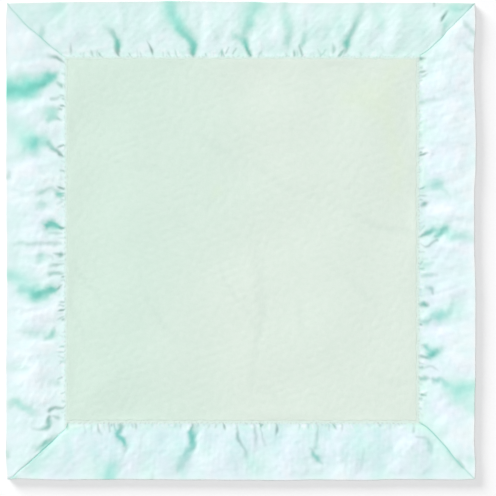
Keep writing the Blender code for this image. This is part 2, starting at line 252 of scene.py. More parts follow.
# The photograph in its own pixels: its side, where the blanket's middle is and how wide it is
PICTURE = 496
PICTURE_MIDDLE = (240.95, 241.2)
PICTURE_WIDTH = 467.7
PER_PIXEL = WIDTH / PICTURE_WIDTH

Side = namedtuple("Side", "name corner along across length trim before after seams")

SIDES = (
    Side(
        "top", (LOW.x, HIGH.y), (1, 0), (0, -1), WIDTH, TRIM_TOP, TRIM_LEFT, TRIM_RIGHT,
        ("top_left", "top_right"),
    ),
    Side(
        "bottom", (LOW.x, LOW.y), (1, 0), (0, 1), WIDTH, TRIM_BOTTOM, TRIM_LEFT, TRIM_RIGHT,
        ("bottom_left", "bottom_right"),
    ),
    Side(
        "left", (LOW.x, HIGH.y), (0, -1), (1, 0), LENGTH, TRIM_LEFT, TRIM_TOP, TRIM_BOTTOM,
        ("top_left", "bottom_left"),
    ),
    Side(
        "right", (HIGH.x, HIGH.y), (0, -1), (-1, 0), LENGTH, TRIM_RIGHT, TRIM_TOP, TRIM_BOTTOM,
        ("top_right", "bottom_right"),
    ),
)

# The corner seams, from the outer corner inwards: share of the run, how far the seam bows out of
# its straight line as a share of the satin's width, and how dark its painted shade looks
SEAMS = {
    "top_left": (
        (0, 0, 0.4), (0.1, 0.035, 0.3), (0.2, 0.045, 0.33), (0.3, 0.072, 0.35), (0.4, 0.08, 0.47),
        (0.5, 0.062, 0.33), (0.6, 0.05, 0.4), (0.7, 0.052, 0.48), (0.8, 0.038, 0.3),
        (0.9, 0.025, 0.25), (1, 0, 0.1),
    ),
    "top_right": (
        (0, 0, 0.4), (0.05, 0.02, 0.5), (0.1, 0.012, 0.4), (0.16, 0.02, 0.1), (0.25, 0.028, 0.1),
        (0.3, 0.02, 0.1), (0.35, 0.035, 0.05), (0.4, 0.035, 0.05), (0.46, 0.022, 0.1),
        (0.5, 0.028, 0.15), (0.55, 0.052, 0.25), (0.6, 0.06, 0.4), (0.7, 0.048, 0.42),
        (0.78, 0.055, 0.42), (0.85, 0.04, 0.4), (0.92, 0, 0.2), (1, 0, 0.2),
    ),
    "bottom_left": (
        (0, 0, 0.35), (0.05, -0.05, 0.35), (0.1, -0.062, 0.3), (0.2, -0.056, 0.55),
        (0.3, -0.084, 0.5), (0.4, -0.088, 0.6), (0.5, -0.094, 0.75), (0.56, -0.095, 0.65),
        (0.6, -0.1, 0.75), (0.68, -0.102, 0.8), (0.75, -0.102, 0.5), (0.8, -0.1, 0.45),
        (0.88, -0.115, 0.35), (0.94, -0.1, 0.3), (1, 0, 0.2),
    ),
    "bottom_right": (
        (0, 0, 0.35), (0.1, 0, 0.33), (0.2, 0, 0.3), (0.3, 0.005, 0.35), (0.4, 0.025, 0.45),
        (0.5, 0.055, 0.65), (0.56, 0.06, 0.45), (0.6, 0.068, 0.55), (0.7, 0.072, 0.6),
        (0.8, 0.075, 0.55), (0.87, 0.068, 0.55), (0.94, 0.02, 0.6), (1, 0, 0.3),
    ),
}
SEAM_DEPTH = 1.5 * MM  # of the seam stitches below the satin's crown
SEAM_SAMPLES, SEAM_SOFTENING = 81, 7
# The seams' painted shade: its reach and strength, then a painted darker tone beside them
SEAM_SHADE_REACH = 0.85 * MM
SEAM_SHADE = 0.62
SEAM_TONE = 0.45
SEAM_SOFT = 0.2  # of that tone, further out
SEAM_SOFT_REACH = 2.2 * MM
SEAM_GROOVE, SEAM_GROOVE_REACH = 0.15 * MM, 0.8 * MM
SEAM_TINT = -0.5  # how much cooler the satin looks beside the seams
SEAM_TINT_REACH = 13 * MM

# How far the outer edges sway outwards from straight: share of the side's length, millimetres
EDGE_SWAY = {
    "top": (
        (0.01, 0.35), (0.08, 0.7), (0.11, 1.0), (0.15, 1.4), (0.25, 1.4), (0.285, 1.7),
        (0.35, 2.0), (0.42, 2.0), (0.455, 1.5), (0.52, 1.5), (0.56, 0.6), (0.59, 1.2),
        (0.63, 0.2), (0.66, 0.7), (0.695, 0.2), (0.73, 0.5), (0.77, 0.7), (0.8, 0.8), (0.83, 0.5),
        (0.87, 0.25), (0.9, 1.1), (0.94, 0.1), (0.97, 0.4),
    ),
    "bottom": (
        (0.03, -0.9), (0.055, 0.1), (0.08, 0.3), (0.115, 0.85), (0.15, 0.4), (0.19, 0.3),
        (0.225, 0.4), (0.246, -0.3), (0.29, 0.6), (0.32, 0.1), (0.365, 0.6), (0.395, 0.8),
        (0.42, 0.35), (0.48, 0.85), (0.525, 0.8), (0.575, 1.25), (0.61, 1.0), (0.65, 0.5),
        (0.7, 0.7), (0.78, 0.95), (0.823, 0.0), (0.86, 0.35), (0.93, 0.35), (0.965, 0.85),
    ),
    "left": (
        (0.01, 1.2), (0.045, 1.7), (0.08, 1.3), (0.11, 1.6), (0.145, 0.9), (0.18, 0.1),
        (0.21, 1.1), (0.245, 0.55), (0.28, 0.65), (0.31, 1.1), (0.35, 1.1), (0.38, 0.65),
        (0.415, 0.9), (0.45, 0.8), (0.515, 0.2), (0.55, 0.65), (0.58, -0.1), (0.615, 0.3),
        (0.65, 0.7), (0.68, 0.55), (0.715, 0.9), (0.785, 1.1), (0.82, 0.8), (0.85, 1.0),
        (0.885, 0.7), (0.92, 1.35), (0.95, 1.6), (0.985, 0.8),
    ),
    "right": (
        (0.04, 1.05), (0.075, -0.15), (0.11, -1.05), (0.16, -0.75), (0.2, -0.05), (0.245, 0.85),
        (0.3, 1.15), (0.345, 0.85), (0.4, -0.45), (0.455, -0.45), (0.52, -0.55), (0.56, 0.35),
        (0.61, 0.85), (0.68, 0.75), (0.77, 0.55), (0.84, 0.05), (0.86, -0.35), (0.88, -0.05),
        (0.92, -0.85), (0.96, 0.15), (0.985, 1.45),
    ),
}

# The satin's folds, as seen in the photograph. Each point of one has its two coordinates there
# and the fold's width, in pixels, and how dark the satin looks, in hundredths: a painted shade,
# which also deepens the fold. Those below zero are swellings, with a painted gleam instead.
FOLDS = {
    "top": (
        ((35, 14, 20, 14), (48, 16, 24, 24), (56, 22, 14, 12)),
        ((42, 24, 4, 12), (43, 30, 5, 30), (42, 37, 6, 45), (38, 38, 4, 30)),
        ((58, 6, 12, 22), (66, 14, 12, 25), (62, 26, 9, 20)),
        ((62, 6, 10, 14), (56, 14, 12, 14)),
        ((71, 44, 2, 20), (71, 50, 2.4, 45), (71, 55, 1.6, 30)),
        ((103, 26, 3, 15), (108, 29, 4, 30), (113, 33, 4.5, 50), (117, 39, 5.5, 80),
         (117.5, 45, 6.5, 100), (117.5, 50, 4.5, 90), (119, 56, 2, 70)),
        ((110, 34, 9, 14), (114, 44, 10, 16)),
        ((123, 4, 9, 24), (125, 16, 10, 25), (124, 28, 9, 22)),
        ((147, 41, 1.2, 20), (150, 46, 2.2, 60), (152, 51, 2.6, 80), (153, 55, 1.5, 50)),
        ((171.5, 3, 17, 60), (170.5, 12, 17, 68), (174.5, 20, 16, 70), (180, 28, 13, 80),
         (185, 34, 10, 80), (191, 40, 9, 88), (193.3, 47, 8, 100), (193, 54, 5, 100),
         (193, 57, 3, 60)),
        ((187, 6, 8, 20), (188, 14, 8, 22), (187, 20, 6, 10)),
        ((215, 33, 6, 16), (217, 38, 7, 24), (218, 41, 5, 16)),
        ((219, 55, 1.6, 30), (222, 50, 1.6, 30)),
        ((226, 54, 1.6, 40), (229, 48, 1.8, 40)),
        ((233, 54, 1.6, 45), (236, 49, 1.8, 45)),
        ((234, 36, 8, 50), (240, 38.5, 9, 58), (245, 43, 7, 90), (248, 50, 5.5, 100),
         (251, 56, 3, 85)),
        ((240, 8, 14, 17), (236, 20, 12, 16)),
        ((257, 3, 18, 54), (254, 10, 17, 56), (250, 17, 15, 52), (249, 24, 13, 64),
         (246, 31, 10, 50)),
        ((272, 12, 12, 20), (268, 22, 12, 24), (268, 30, 8, 14)),
        ((284, 3, 9, 35), (285, 12, 9, 32), (287, 20, 10, 44), (288, 28, 10, 46),
         (288, 36, 8, 45), (288, 43, 7, 45), (288, 47, 5, 30)),
        ((299, 45, 2, 30), (300, 50, 2.5, 60), (302, 55, 2, 70)),
        ((305, 36, 7, 38), (304, 42, 7, 52), (301, 46, 5, 40)),
        ((317, 50, 1.6, 25), (321, 55, 1.6, 35), (325, 50, 2, 30)),
        ((318, 20, 24, 10), (322, 36, 26, 17)),
        ((328, 28, 11, 25), (329, 37, 10, 22)),
        ((333, 44, 2, 20), (334, 49, 3.5, 50), (333, 53, 2.5, 40)),
        ((336, 20, 9, 20), (339, 30, 9, 28), (340, 38, 8, 20)),
        ((338, 7, 9, 10), (342, 14, 9, 8)),
        ((341, 52, 1.6, 40), (339, 56, 2.2, 70)),
        ((361, 4, 8, 30), (361, 12, 8, 32), (359, 19, 9, 42), (355, 25, 8, 55),
         (352.5, 31, 7, 60), (348.5, 38, 7.5, 70), (346, 44, 8, 96), (346, 49, 4.6, 76),
         (343, 54, 2.6, 35)),
        ((374, 14, 18, 10), (378, 26, 16, 10)),
        ((374, 12, 12, 22), (380, 22, 13, 26), (386, 32, 9, 16)),
        ((381, 47, 1.6, 20), (383, 52, 1.6, 25)),
        ((413, 6, 18, 16), (415, 25, 28, 24), (412, 42, 30, 20)),
        ((434, 3, 2.2, 50), (434, 7, 2.2, 40)),
        ((446, 12, 2.2, 30), (444, 15, 2.6, 60), (442, 18, 2.8, 75), (441, 21, 2.2, 50)),
        ((452, 8, 8, 20), (463, 9, 8, 28), (471, 6.5, 4, 45), (475, 5, 2.4, 40)),
        ((457, 4, 12, 42), (455, 9, 18, 45), (452, 15, 20, 36), (449, 21, 16, 36),
         (446, 27, 7, 60), (444, 31, 5, 45), (442, 36, 4, 35)),
        ((68, 52, 9, -40), (76, 36, 9, -40)),
        ((70, 16, 8, -30), (68, 27, 13, -50), (62, 42, 10, -40)),
        ((78, 50, 7, -45), (92, 50, 6, -40), (106, 48, 6, -35)),
        ((114, 42, 9, -50), (116, 52, 9, -50)),
        ((140, 52, 8, -40), (162, 36, 8, -40)),
        ((155, 49, 8, -50), (164, 52, 8, -50)),
        ((199, 28, 8, -25), (208, 40, 9, -25), (212, 50, 8, -35)),
        ((203, 16, 9, -50), (206, 24, 8, -50)),
        ((205, 8, 12, -50), (206, 18, 11, -40)),
        ((222, 22, 16, -25), (228, 36, 10, -30)),
        ((224, 43, 9, -50), (226, 52, 10, -60)),
        ((259, 40, 6, -40), (261, 50, 6, -40)),
        ((273, 10, 8, -25), (275, 24, 8, -30), (274, 40, 10, -35)),
        ((304, 6, 12, -40), (304, 17, 12, -50)),
        ((392, 24, 14, -35), (390, 42, 16, -35)),
        ((437, 14, 7, -30), (435, 24, 9, -35), (434, 32, 8, -30)),
    ),
    "bottom": (
        ((9, 477, 4.5, 50), (15, 477, 6, 45)),
        ((26, 472, 10, 14), (38, 462, 12, 18), (52, 450, 12, 14), (62, 440, 9, 6)),
        ((30, 472, 12, 10), (42, 470, 14, 10)),
        ((50, 455, 26, 12), (60, 465, 30, 10)),
        ((58, 470, 10, 14), (68, 473, 10, 16)),
        ((84, 424, 1.6, 20), (86, 432, 1.6, 25)),
        ((92, 424, 1.6, 25), (92, 431, 1.6, 25)),
        ((98, 424, 1.6, 40), (99, 430, 2, 55), (102, 434, 2, 25)),
        ((98, 474, 10, 16), (108, 478, 10, 20)),
        ((104, 425, 1.6, 25), (105, 430, 1.6, 20)),
        ((109, 424, 2, 40), (110, 431, 2, 40)),
        ((114, 424, 1.6, 50), (116, 430, 1.6, 40)),
        ((115, 457, 6, 20), (114, 463, 12, 48), (111, 469, 18, 60), (110, 476, 21, 56)),
        ((121, 423, 2.2, 30), (121, 427, 4.4, 75), (119, 431, 7, 90), (118, 435, 6.5, 95),
         (121, 438, 8, 100), (124, 443, 6.5, 95), (125, 449, 4, 45)),
        ((152, 473, 3, 20), (152, 478, 3, 25)),
        ((158, 430, 10, 14), (162, 437, 10, 14)),
        ((183, 467, 12, 30), (184, 475, 12, 34)),
        ((192, 423, 2.4, 60), (192, 429, 5.5, 85), (192, 436, 8, 100), (192, 443, 7.5, 90),
         (190, 449, 10, 70), (187, 454, 13, 62), (182, 459, 13, 46), (178, 466, 11, 34),
         (175, 472, 5, 15)),
        ((237, 425, 1.6, 30), (238, 431, 3, 45), (238, 437, 4, 70), (241, 443, 2.5, 50),
         (244, 448, 2.5, 40), (246, 453, 4, 40), (247, 458, 3, 20)),
        ((250, 448, 18, 8), (254, 462, 28, 20), (252, 473, 22, 14)),
        ((254, 424, 2.2, 35), (255, 433, 3.4, 42), (256, 441, 4.2, 32), (257, 448, 4, 15)),
        ((260, 425, 1.6, 30), (262, 434, 1.6, 35), (265, 444, 4, 25)),
        ((260, 470, 10, 12), (270, 478, 10, 16)),
        ((277, 424, 2.2, 50), (277, 430, 2.6, 70), (276, 434, 2, 30)),
        ((278, 438, 12, 14), (282, 444, 8, 8)),
        ((306, 440, 12, 8), (310, 458, 10, 10)),
        ((310, 472, 14, 22), (322, 474, 16, 24)),
        ((311, 449, 3, 30), (314, 454, 6, 68), (317, 457, 6.5, 78), (320.5, 461, 4, 50),
         (322, 464, 1.6, 20)),
        ((317, 424, 1.6, 30), (317, 432, 2, 35), (316, 440, 4, 35), (315, 447, 5, 35)),
        ((320, 437, 10, 20), (320, 444, 10, 16)),
        ((329, 424, 1.6, 30), (329, 430, 1.6, 30)),
        ((368, 440, 32, 8), (370, 455, 38, 14), (372, 468, 26, 8)),
        ((386, 448, 14, 18), (384, 458, 16, 20), (380, 472, 18, 24), (392, 474, 12, 16)),
        ((390, 440, 6, 10), (390, 447, 5, 12)),
        ((413, 425, 2, 35), (413, 431, 3, 40)),
        ((417, 437, 2, 30), (424, 437, 3.5, 34), (429, 442, 5, 46), (431, 449, 4, 38),
         (430, 453, 3, 20)),
        ((420, 452, 14, 10), (428, 468, 20, 18), (422, 474, 14, 13)),
        ((426, 473, 12, 18), (418, 476, 10, 12)),
        ((448, 452, 3, 20), (453, 457, 4.5, 35), (458, 462, 5, 50), (463, 467, 3.5, 50)),
        ((70, 426, 4, -40), (122, 421, 2, -20)),
        ((77, 438, 8, -35), (79, 462, 8, -35)),
        ((134, 430, 8, -30), (138, 446, 8, -30)),
        ((142, 438, 10, -20), (130, 468, 12, -30)),
        ((197, 446, 10, -35), (203, 462, 16, -40)),
        ((201, 436, 6, -40), (202, 442, 6, -30)),
        ((222, 436, 14, -20), (213, 468, 18, -40)),
        ((228, 428, 9, -40), (230, 436, 8, -30)),
        ((294, 432, 12, -30), (284, 464, 20, -45)),
        ((300, 468, 9, -35), (356, 475, 9, -35)),
        ((334, 430, 8, -15), (338, 456, 8, -30), (345, 474, 10, -35)),
        ((340, 428, 9, -40), (338, 436, 8, -30)),
        ((402, 432, 14, -45), (404, 446, 18, -60), (407, 457, 14, -60), (398, 466, 16, -50)),
        ((412, 443, 14, -50), (420, 448, 10, -40)),
    ),
    "left": (
        ((50, 32, 9, 16), (51, 42, 9, 20)),
        ((49, 56, 4, 30), (56, 58, 3.4, 70), (62, 61, 2.4, 60), (66, 63, 1.6, 30)),
        ((20, 76, 8, 20), (27, 76, 9, 22), (35, 75, 7, 15)),
        ((58, 83, 3, 40), (61, 86, 3.5, 70), (63, 88, 2, 30)),
        ((7, 91, 22, 95), (16, 90.5, 22, 95), (26, 90, 20, 93), (33, 88, 17, 100),
         (40, 84, 14, 100), (46, 80, 14, 96), (51, 77.5, 11, 100), (55, 75, 6.5, 72),
         (57.5, 72.5, 3, 20)),
        ((52, 99, 3.5, 45), (57, 99, 3, 40), (61, 97, 2, 30)),
        ((43, 111, 8, 25), (48, 112, 12, 48), (52, 113, 13, 56), (55, 110, 8, 50),
         (59, 109, 3, 50), (62, 110, 2.4, 60)),
        ((50, 119, 6, 36), (55, 119, 6, 42), (60, 120, 3.5, 55), (62, 120, 2, 40)),
        ((10, 122, 18, 34), (18, 129, 24, 35), (26, 138, 22, 36)),
        ((29, 143, 16, 50), (34, 143, 16, 85), (38, 142.5, 14, 62), (44, 142, 12, 56)),
        ((49, 144, 5, 50), (53, 148, 5, 74), (57, 151, 3.6, 74), (61, 155, 2.8, 80),
         (64, 157, 1.6, 40)),
        ((12, 160, 12, 26), (23, 154, 11, 20), (36, 153, 9, 20)),
        ((62, 161, 2, 20), (64, 162, 2, 20)),
        ((40, 168, 8, 16), (44, 172, 7, 14)),
        ((61, 171, 2, 40), (64, 171, 2.2, 60)),
        ((10, 173, 4, 35), (9, 177, 5, 45)),
        ((38, 194, 5, 30), (41, 193, 6, 50), (46, 191, 6, 35), (51, 189, 5, 35),
         (56, 191, 5, 42), (60, 195, 6, 85), (64, 196, 2.5, 50)),
        ((58, 204, 3, 25), (62, 202, 3, 40)),
        ((38, 207, 6, 30), (43, 206, 8, 42), (48, 207, 5, 20)),
        ((20, 212, 26, 7), (18, 222, 22, 7)),
        ((44, 226, 4, 40), (47, 225.5, 8.5, 100), (51, 224.8, 9, 100), (55, 225.8, 8, 100),
         (59, 227, 4.5, 90), (63, 227.5, 2.4, 70)),
        ((50, 233, 2.6, 25), (54, 233, 3, 35), (58, 233.5, 3.4, 40), (62, 233, 2.4, 30)),
        ((20, 243, 5, 25), (30, 244, 5, 34), (40, 244, 4, 22), (48, 243, 4, 30),
         (54, 243, 4.5, 40), (61, 243, 3, 30)),
        ((14, 244, 18, 20), (12, 256, 14, 16)),
        ((53, 253, 2, 30), (58, 254, 3, 60), (61, 255, 4, 85), (64, 255, 2, 50)),
        ((37, 260, 6, 25), (41, 258, 8, 50), (46, 256, 5, 30), (50, 256, 3, 25),
         (54, 259, 2.5, 25)),
        ((18, 262, 14, 14), (32, 268, 10, 12)),
        ((52, 266, 4, 35), (56, 265, 3.5, 50), (61, 264, 2, 30)),
        ((50, 274, 5, 50), (55, 273, 5, 55), (60, 273, 3.5, 50), (63, 272, 2, 30)),
        ((8, 275, 14, 57), (16, 277, 16, 56), (26, 279, 15, 42), (34, 279, 12, 28)),
        ((34, 287, 6, 22), (38, 286, 6, 20)),
        ((23, 290, 11, 55), (30, 291, 12, 75), (37, 294.5, 13, 100), (43, 294, 12, 92),
         (48, 291, 10, 90), (52, 289.5, 9, 100), (57, 288.5, 7, 85), (61, 286, 3, 70),
         (63, 285, 1.6, 40)),
        ((18, 290, 10, 14), (12, 296, 12, 14)),
        ((22, 298, 10, 12), (34, 300, 8, 8), (50, 298, 7, 16)),
        ((60, 305, 2, 30), (64, 306, 2, 50)),
        ((26, 332, 9, 28), (33, 333, 10, 36), (41, 333, 9, 28)),
        ((60, 335, 2, 20), (63, 336, 2, 25)),
        ((47, 338, 6, 45), (50, 336, 7, 58), (53, 333, 7, 65), (54, 329, 4, 35)),
        ((60, 347, 2, 25), (63, 346, 2, 25)),
        ((59, 356, 2, 25), (64, 358, 2, 40)),
        ((14, 367, 12, 22), (24, 369, 11, 24)),
        ((58, 379, 2, 25), (62, 377, 2.4, 45)),
        ((52, 382, 7, 20), (60, 383, 5, 36)),
        ((11, 403, 8, 40), (17, 402, 10, 56), (23, 406, 10, 55), (30, 410.5, 9, 48),
         (36, 413, 8, 34), (41, 415, 4, 16)),
        ((66, 407, 2, 50), (60, 408, 3, 55), (54, 408, 3.5, 65), (50, 410, 4, 70),
         (49, 412, 2, 40)),
        ((50, 416, 3, 50), (49, 421, 4.5, 75), (48, 426, 5, 70), (43, 428, 5, 60),
         (38, 429, 4, 35), (32, 427, 3, 15)),
        ((54, 416, 2.4, 35), (58, 418, 3.5, 45), (61, 418, 2, 20)),
        ((54, 420, 16, 13), (50, 446, 14, 10)),
        ((34, 422, 8, 16), (26, 425, 10, 17)),
        ((9, 446, 5, 16), (9, 454, 6, 20)),
        ((36, 448, 7, 30), (42, 446, 8, 55), (47, 443, 7, 75), (51, 439.5, 6, 50),
         (57, 435, 4, 30)),
        ((8, 452, 4, 25), (9, 456, 4, 30)),
        ((11, 24, 8, -40), (13, 40, 12, -40), (20, 54, 12, -30)),
        ((20, 30, 10, -30), (30, 44, 12, -40)),
        ((18, 66, 10, -35), (44, 65, 8, -45), (58, 66, 6, -40)),
        ((52, 86, 8, -40), (44, 96, 8, -40), (30, 72, 8, -30)),
        ((58, 104, 5, -45), (45, 104, 6, -40)),
        ((28, 108, 12, -50), (12, 107, 12, -45)),
        ((30, 118, 10, -35), (36, 122, 8, -30)),
        ((52, 122, 9, -50), (53, 132, 9, -50)),
        ((44, 126, 10, -40), (56, 132, 7, -35)),
        ((14, 154, 8, -20), (24, 166, 22, -35), (44, 176, 14, -35)),
        ((56, 180, 8, -35), (40, 182, 10, -30)),
        ((14, 184, 14, -30), (16, 198, 12, -25)),
        ((60, 186, 8, -70), (64, 188, 7, -50)),
        ((34, 190, 12, -30), (24, 206, 12, -25)),
        ((60, 205, 8, -40), (58, 209, 7, -30)),
        ((54, 216, 8, -50), (40, 214, 8, -30)),
        ((42, 238, 8, -50), (46, 242, 7, -40)),
        ((54, 247, 5, -30), (40, 250, 5, -30), (24, 252, 6, -30)),
        ((44, 268, 7, -35), (30, 266, 6, -35), (14, 264, 6, -30)),
        ((50, 281, 5, -35), (42, 284, 5, -30)),
        ((50, 300, 8, -60), (66, 315, 6, -50)),
        ((20, 302, 10, -30), (30, 312, 22, -35), (50, 316, 14, -35)),
        ((22, 364, 8, -30), (30, 356, 20, -35), (34, 384, 22, -35)),
        ((30, 372, 14, -25), (46, 352, 10, -20)),
        ((38, 378, 11, -35), (40, 370, 10, -30)),
        ((30, 396, 10, -35), (44, 399, 10, -50)),
        ((46, 428, 9, -60), (52, 440, 10, -70)),
    ),
    "right": (
        ((464, 21, 3, 30), (466, 25, 4, 42), (469, 29, 4, 40), (472, 34, 5, 42),
         (475, 37, 4, 30)),
        ((464, 44, 3, 20), (469, 48, 4, 35), (473, 50, 4, 40)),
        ((438, 54, 9, 20), (448, 54, 9, 18)),
        ((416, 59, 2.4, 50), (420, 59, 3.4, 85), (424, 59, 2.6, 40)),
        ((428, 60, 5, 10), (444, 60, 5, 10)),
        ((418, 68, 2, 30), (421, 68, 2.4, 40)),
        ((443, 68, 10, 16), (450, 74, 10, 12)),
        ((420, 78, 2, 25), (424, 76, 2.6, 40), (427, 74, 1.6, 30)),
        ((421, 103, 4, 40), (427, 101, 5, 30), (434, 100, 5, 28), (440, 100, 4, 20)),
        ((428, 116, 4, 10), (434, 116, 4, 12)),
        ((427, 127, 4, 8), (433, 127, 4, 8)),
        ((417, 142, 1.6, 30), (420, 142, 1.6, 20)),
        ((432, 155, 4, 10), (436, 155, 4, 8)),
        ((462, 168, 12, 12), (468, 165, 12, 10)),
        ((424, 188, 6, 35), (429, 184, 11, 38), (435, 184, 12, 57), (441, 187, 9, 45),
         (445, 191, 5, 30), (449, 197, 3, 12)),
        ((421, 206, 3, 50), (424, 204, 4.5, 85), (427, 203, 2.4, 40)),
        ((431, 230, 8, 26), (439, 231, 9, 26), (445, 231, 7, 14)),
        ((420, 230, 2, 30), (424, 226, 2, 30)),
        ((447, 233, 9, 45), (454, 235, 11, 50), (462, 236.5, 12, 46), (470, 238, 10, 35),
         (476, 240, 6, 25)),
        ((419, 236.5, 2.4, 45), (423, 235.3, 4.5, 80), (428, 232.2, 5.6, 88), (432, 230, 6, 55)),
        ((435, 237, 5, 72), (438, 234, 8, 78), (441, 230.5, 9, 70), (445, 227, 7, 45),
         (448, 223, 5, 22), (450, 219, 3, 8)),
        ((437, 240, 3, 50), (432, 243, 3, 45), (428, 246, 2.4, 50), (424, 247, 1.8, 35),
         (420, 244, 1.4, 30)),
        ((420, 252, 1.6, 30), (424, 252, 1.6, 30)),
        ((432, 258, 3, 18), (436, 258, 3, 15)),
        ((422, 259, 3, 25), (426, 259, 3, 20)),
        ((424, 265, 5, 35), (430, 263, 6, 30), (434, 264, 3, 15)),
        ((448, 268, 12, 10), (456, 268, 16, 13)),
        ((420, 269, 1.6, 30), (424, 270, 1.6, 25)),
        ((422, 275, 4, 35), (430, 275, 5, 42), (436, 275, 4, 30)),
        ((426, 280, 9, 14), (427, 270, 8, 12)),
        ((427, 288, 4, 40), (431, 289, 4, 60), (433, 293, 2.5, 45)),
        ((421, 305, 4, 70), (425, 304, 5, 95), (429, 305, 2, 40)),
        ((430, 309, 9, 20), (432, 316, 10, 16)),
        ((438, 312, 12, 10), (448, 314, 16, 26), (457, 310, 18, 34), (460, 302, 14, 25)),
        ((434, 317, 10, 54), (439, 316, 12, 68), (445, 314, 10, 44), (449, 308, 8, 25),
         (453, 302, 8, 15)),
        ((421, 322, 5, 50), (426, 322, 6, 55), (430, 320, 3, 30)),
        ((421, 346, 2.6, 50), (425, 347, 6, 74), (430, 350, 7, 72), (432, 353, 10, 100),
         (437, 351, 10, 75), (442, 350, 8, 40), (446, 351, 4, 12)),
        ((421, 356, 2.8, 60), (425, 357, 3, 55), (430, 358, 2.6, 30)),
        ((420, 363, 2, 40), (424, 364, 1.6, 20)),
        ((422, 369, 2, 25), (429, 366, 2.4, 35), (434, 368, 2, 30), (438, 371, 1.6, 15)),
        ((433, 378, 4, 50), (437, 380, 6, 65), (441, 379, 6, 50), (445, 383, 7, 40)),
        ((420, 379, 4, 60), (425, 378, 5, 68), (429, 378, 3, 40)),
        ((450, 387, 14, 47), (457, 389, 18, 60), (464, 388, 19, 60), (470, 388, 18, 56),
         (474, 387, 16, 50)),
        ((430, 388, 12, 16), (441, 386, 12, 22), (438, 396, 12, 12)),
        ((421, 394, 2.6, 70), (425, 395, 2, 50)),
        ((421, 400, 2, 30), (424, 400, 2, 25)),
        ((462, 402, 16, 26), (469, 407, 15, 36), (474, 412, 11, 30)),
        ((476, 402, 7, 18), (476, 410, 7, 16)),
        ((419, 413, 3, 25), (422, 415, 3, 20)),
        ((432, 424, 12, 10), (440, 430, 12, 6)),
        ((446, 428, 10, 16), (440, 434, 10, 12)),
        ((448, 452, 3, 15), (453, 457, 4, 30), (458, 462, 4.5, 50), (463, 467, 3, 40)),
        ((458, 457, 8, 15), (468, 459, 8, 22)),
        ((472, 460, 10, 26), (470, 467, 9, 22)),
        ((459, 30, 12, -25), (453, 40, 15, -35), (448, 60, 14, -30), (438, 84, 18, -45)),
        ((426, 68, 7, -40), (425, 73, 6, -35)),
        ((457, 80, 12, -40), (458, 88, 12, -40)),
        ((427, 86, 10, -35), (427, 92, 9, -30)),
        ((450, 112, 24, -35), (450, 140, 24, -30)),
        ((428, 112, 10, -30), (430, 122, 10, -35)),
        ((459, 146, 9, -50), (460, 170, 10, -50)),
        ((426, 152, 11, -70), (430, 163, 10, -40)),
        ((434, 170, 10, -35), (448, 176, 12, -30)),
        ((467, 196, 8, -40), (464, 188, 8, -30)),
        ((434, 210, 12, -40), (452, 210, 14, -30)),
        ((456, 228, 6, -35), (468, 230, 6, -35)),
        ((448, 246, 12, -35), (462, 250, 14, -30)),
        ((438, 298, 8, -35), (446, 290, 12, -30)),
        ((466, 330, 14, -30), (464, 340, 16, -35), (440, 334, 14, -35)),
        ((452, 356, 12, -35), (464, 364, 14, -35)),
        ((436, 366, 6, -10), (440, 392, 12, -30)),
        ((474, 378, 8, -60), (476, 384, 8, -40)),
        ((446, 410, 18, -35), (436, 404, 10, -30)),
        ((456, 432, 18, -35), (466, 444, 10, -30)),
    ),
}

# The plush's faint creases in the photograph: points, width and strength, as for the satin; the
# strength sets their depth and their painted shade
PLUSH_CREASES = (
    ((350, 84, 11, 30), (361, 97, 13, 42), (371, 108, 12, 25)),
    ((256, 240, 5, 40), (259, 262, 8, 70), (261, 285, 9, 90), (264, 312, 9, 100),
     (259, 335, 7, 90), (255, 360, 6, 70), (251, 398, 5, 40)),
    ((218, 258, 3, 50), (226, 280, 4, 90), (237, 298, 4, 90), (249, 314, 4, 70),
     (258, 330, 4, 40)),
    ((140, 266, 4, 40), (146, 288, 5, 80), (154, 308, 5, 90), (166, 328, 5, 70),
     (184, 341, 4, 50), (202, 345, 4, 30)),
    ((73, 262, 4, 60), (84, 280, 4, 90), (97, 294, 5, 80), (110, 314, 4, 40)),
    ((70, 300, 4, 40), (77, 318, 5, 80), (87, 340, 5, 70)),
    ((258, 168, 4, 40), (276, 182, 7, 70), (292, 190, 6, 60), (314, 196, 4, 50),
     (338, 198, 4, 40)),
    ((330, 204, 4, 30), (352, 212, 5, 60), (374, 226, 6, 90), (394, 230, 7, 100),
     (414, 233, 5, 70)),
    ((350, 278, 5, 50), (362, 292, 7, 70), (374, 306, 5, 60), (382, 324, 4, 40)),
    ((300, 304, 5, 40), (301, 318, 7, 80), (304, 334, 5, 40)),
    ((196, 134, 6, 40), (212, 144, 8, 70), (232, 156, 7, 60), (256, 166, 4, 40)),
    ((126, 164, 4, 30), (146, 168, 5, 60), (168, 172, 4, 30)),
    ((206, 190, 5, 40), (212, 200, 7, 70), (206, 212, 5, 40)),
    ((176, 216, 4, 30), (186, 224, 5, 60), (198, 232, 4, 30)),
    ((380, 374, 5, 30), (392, 384, 6, 60), (412, 382, 5, 40)),
    ((262, 388, 4, 50), (270, 392, 5, 60), (276, 398, 4, 30)),
    ((326, 176, 8, -50), (348, 182, 12, -80), (372, 186, 8, -50)),
    ((286, 160, 7, -60), (300, 158, 8, -70)),
    ((216, 96, 7, -50), (222, 108, 9, -80), (224, 120, 7, -40)),
    ((144, 276, 4, -40), (152, 296, 6, -70), (160, 312, 4, -40)),
    ((228, 274, 5, -40), (240, 290, 6, -70), (250, 302, 4, -40)),
    ((92, 300, 5, -40), (104, 322, 7, -60), (112, 340, 5, -40)),
)
PLUSH_SHADE = (0.955, 0.965, 0.965)
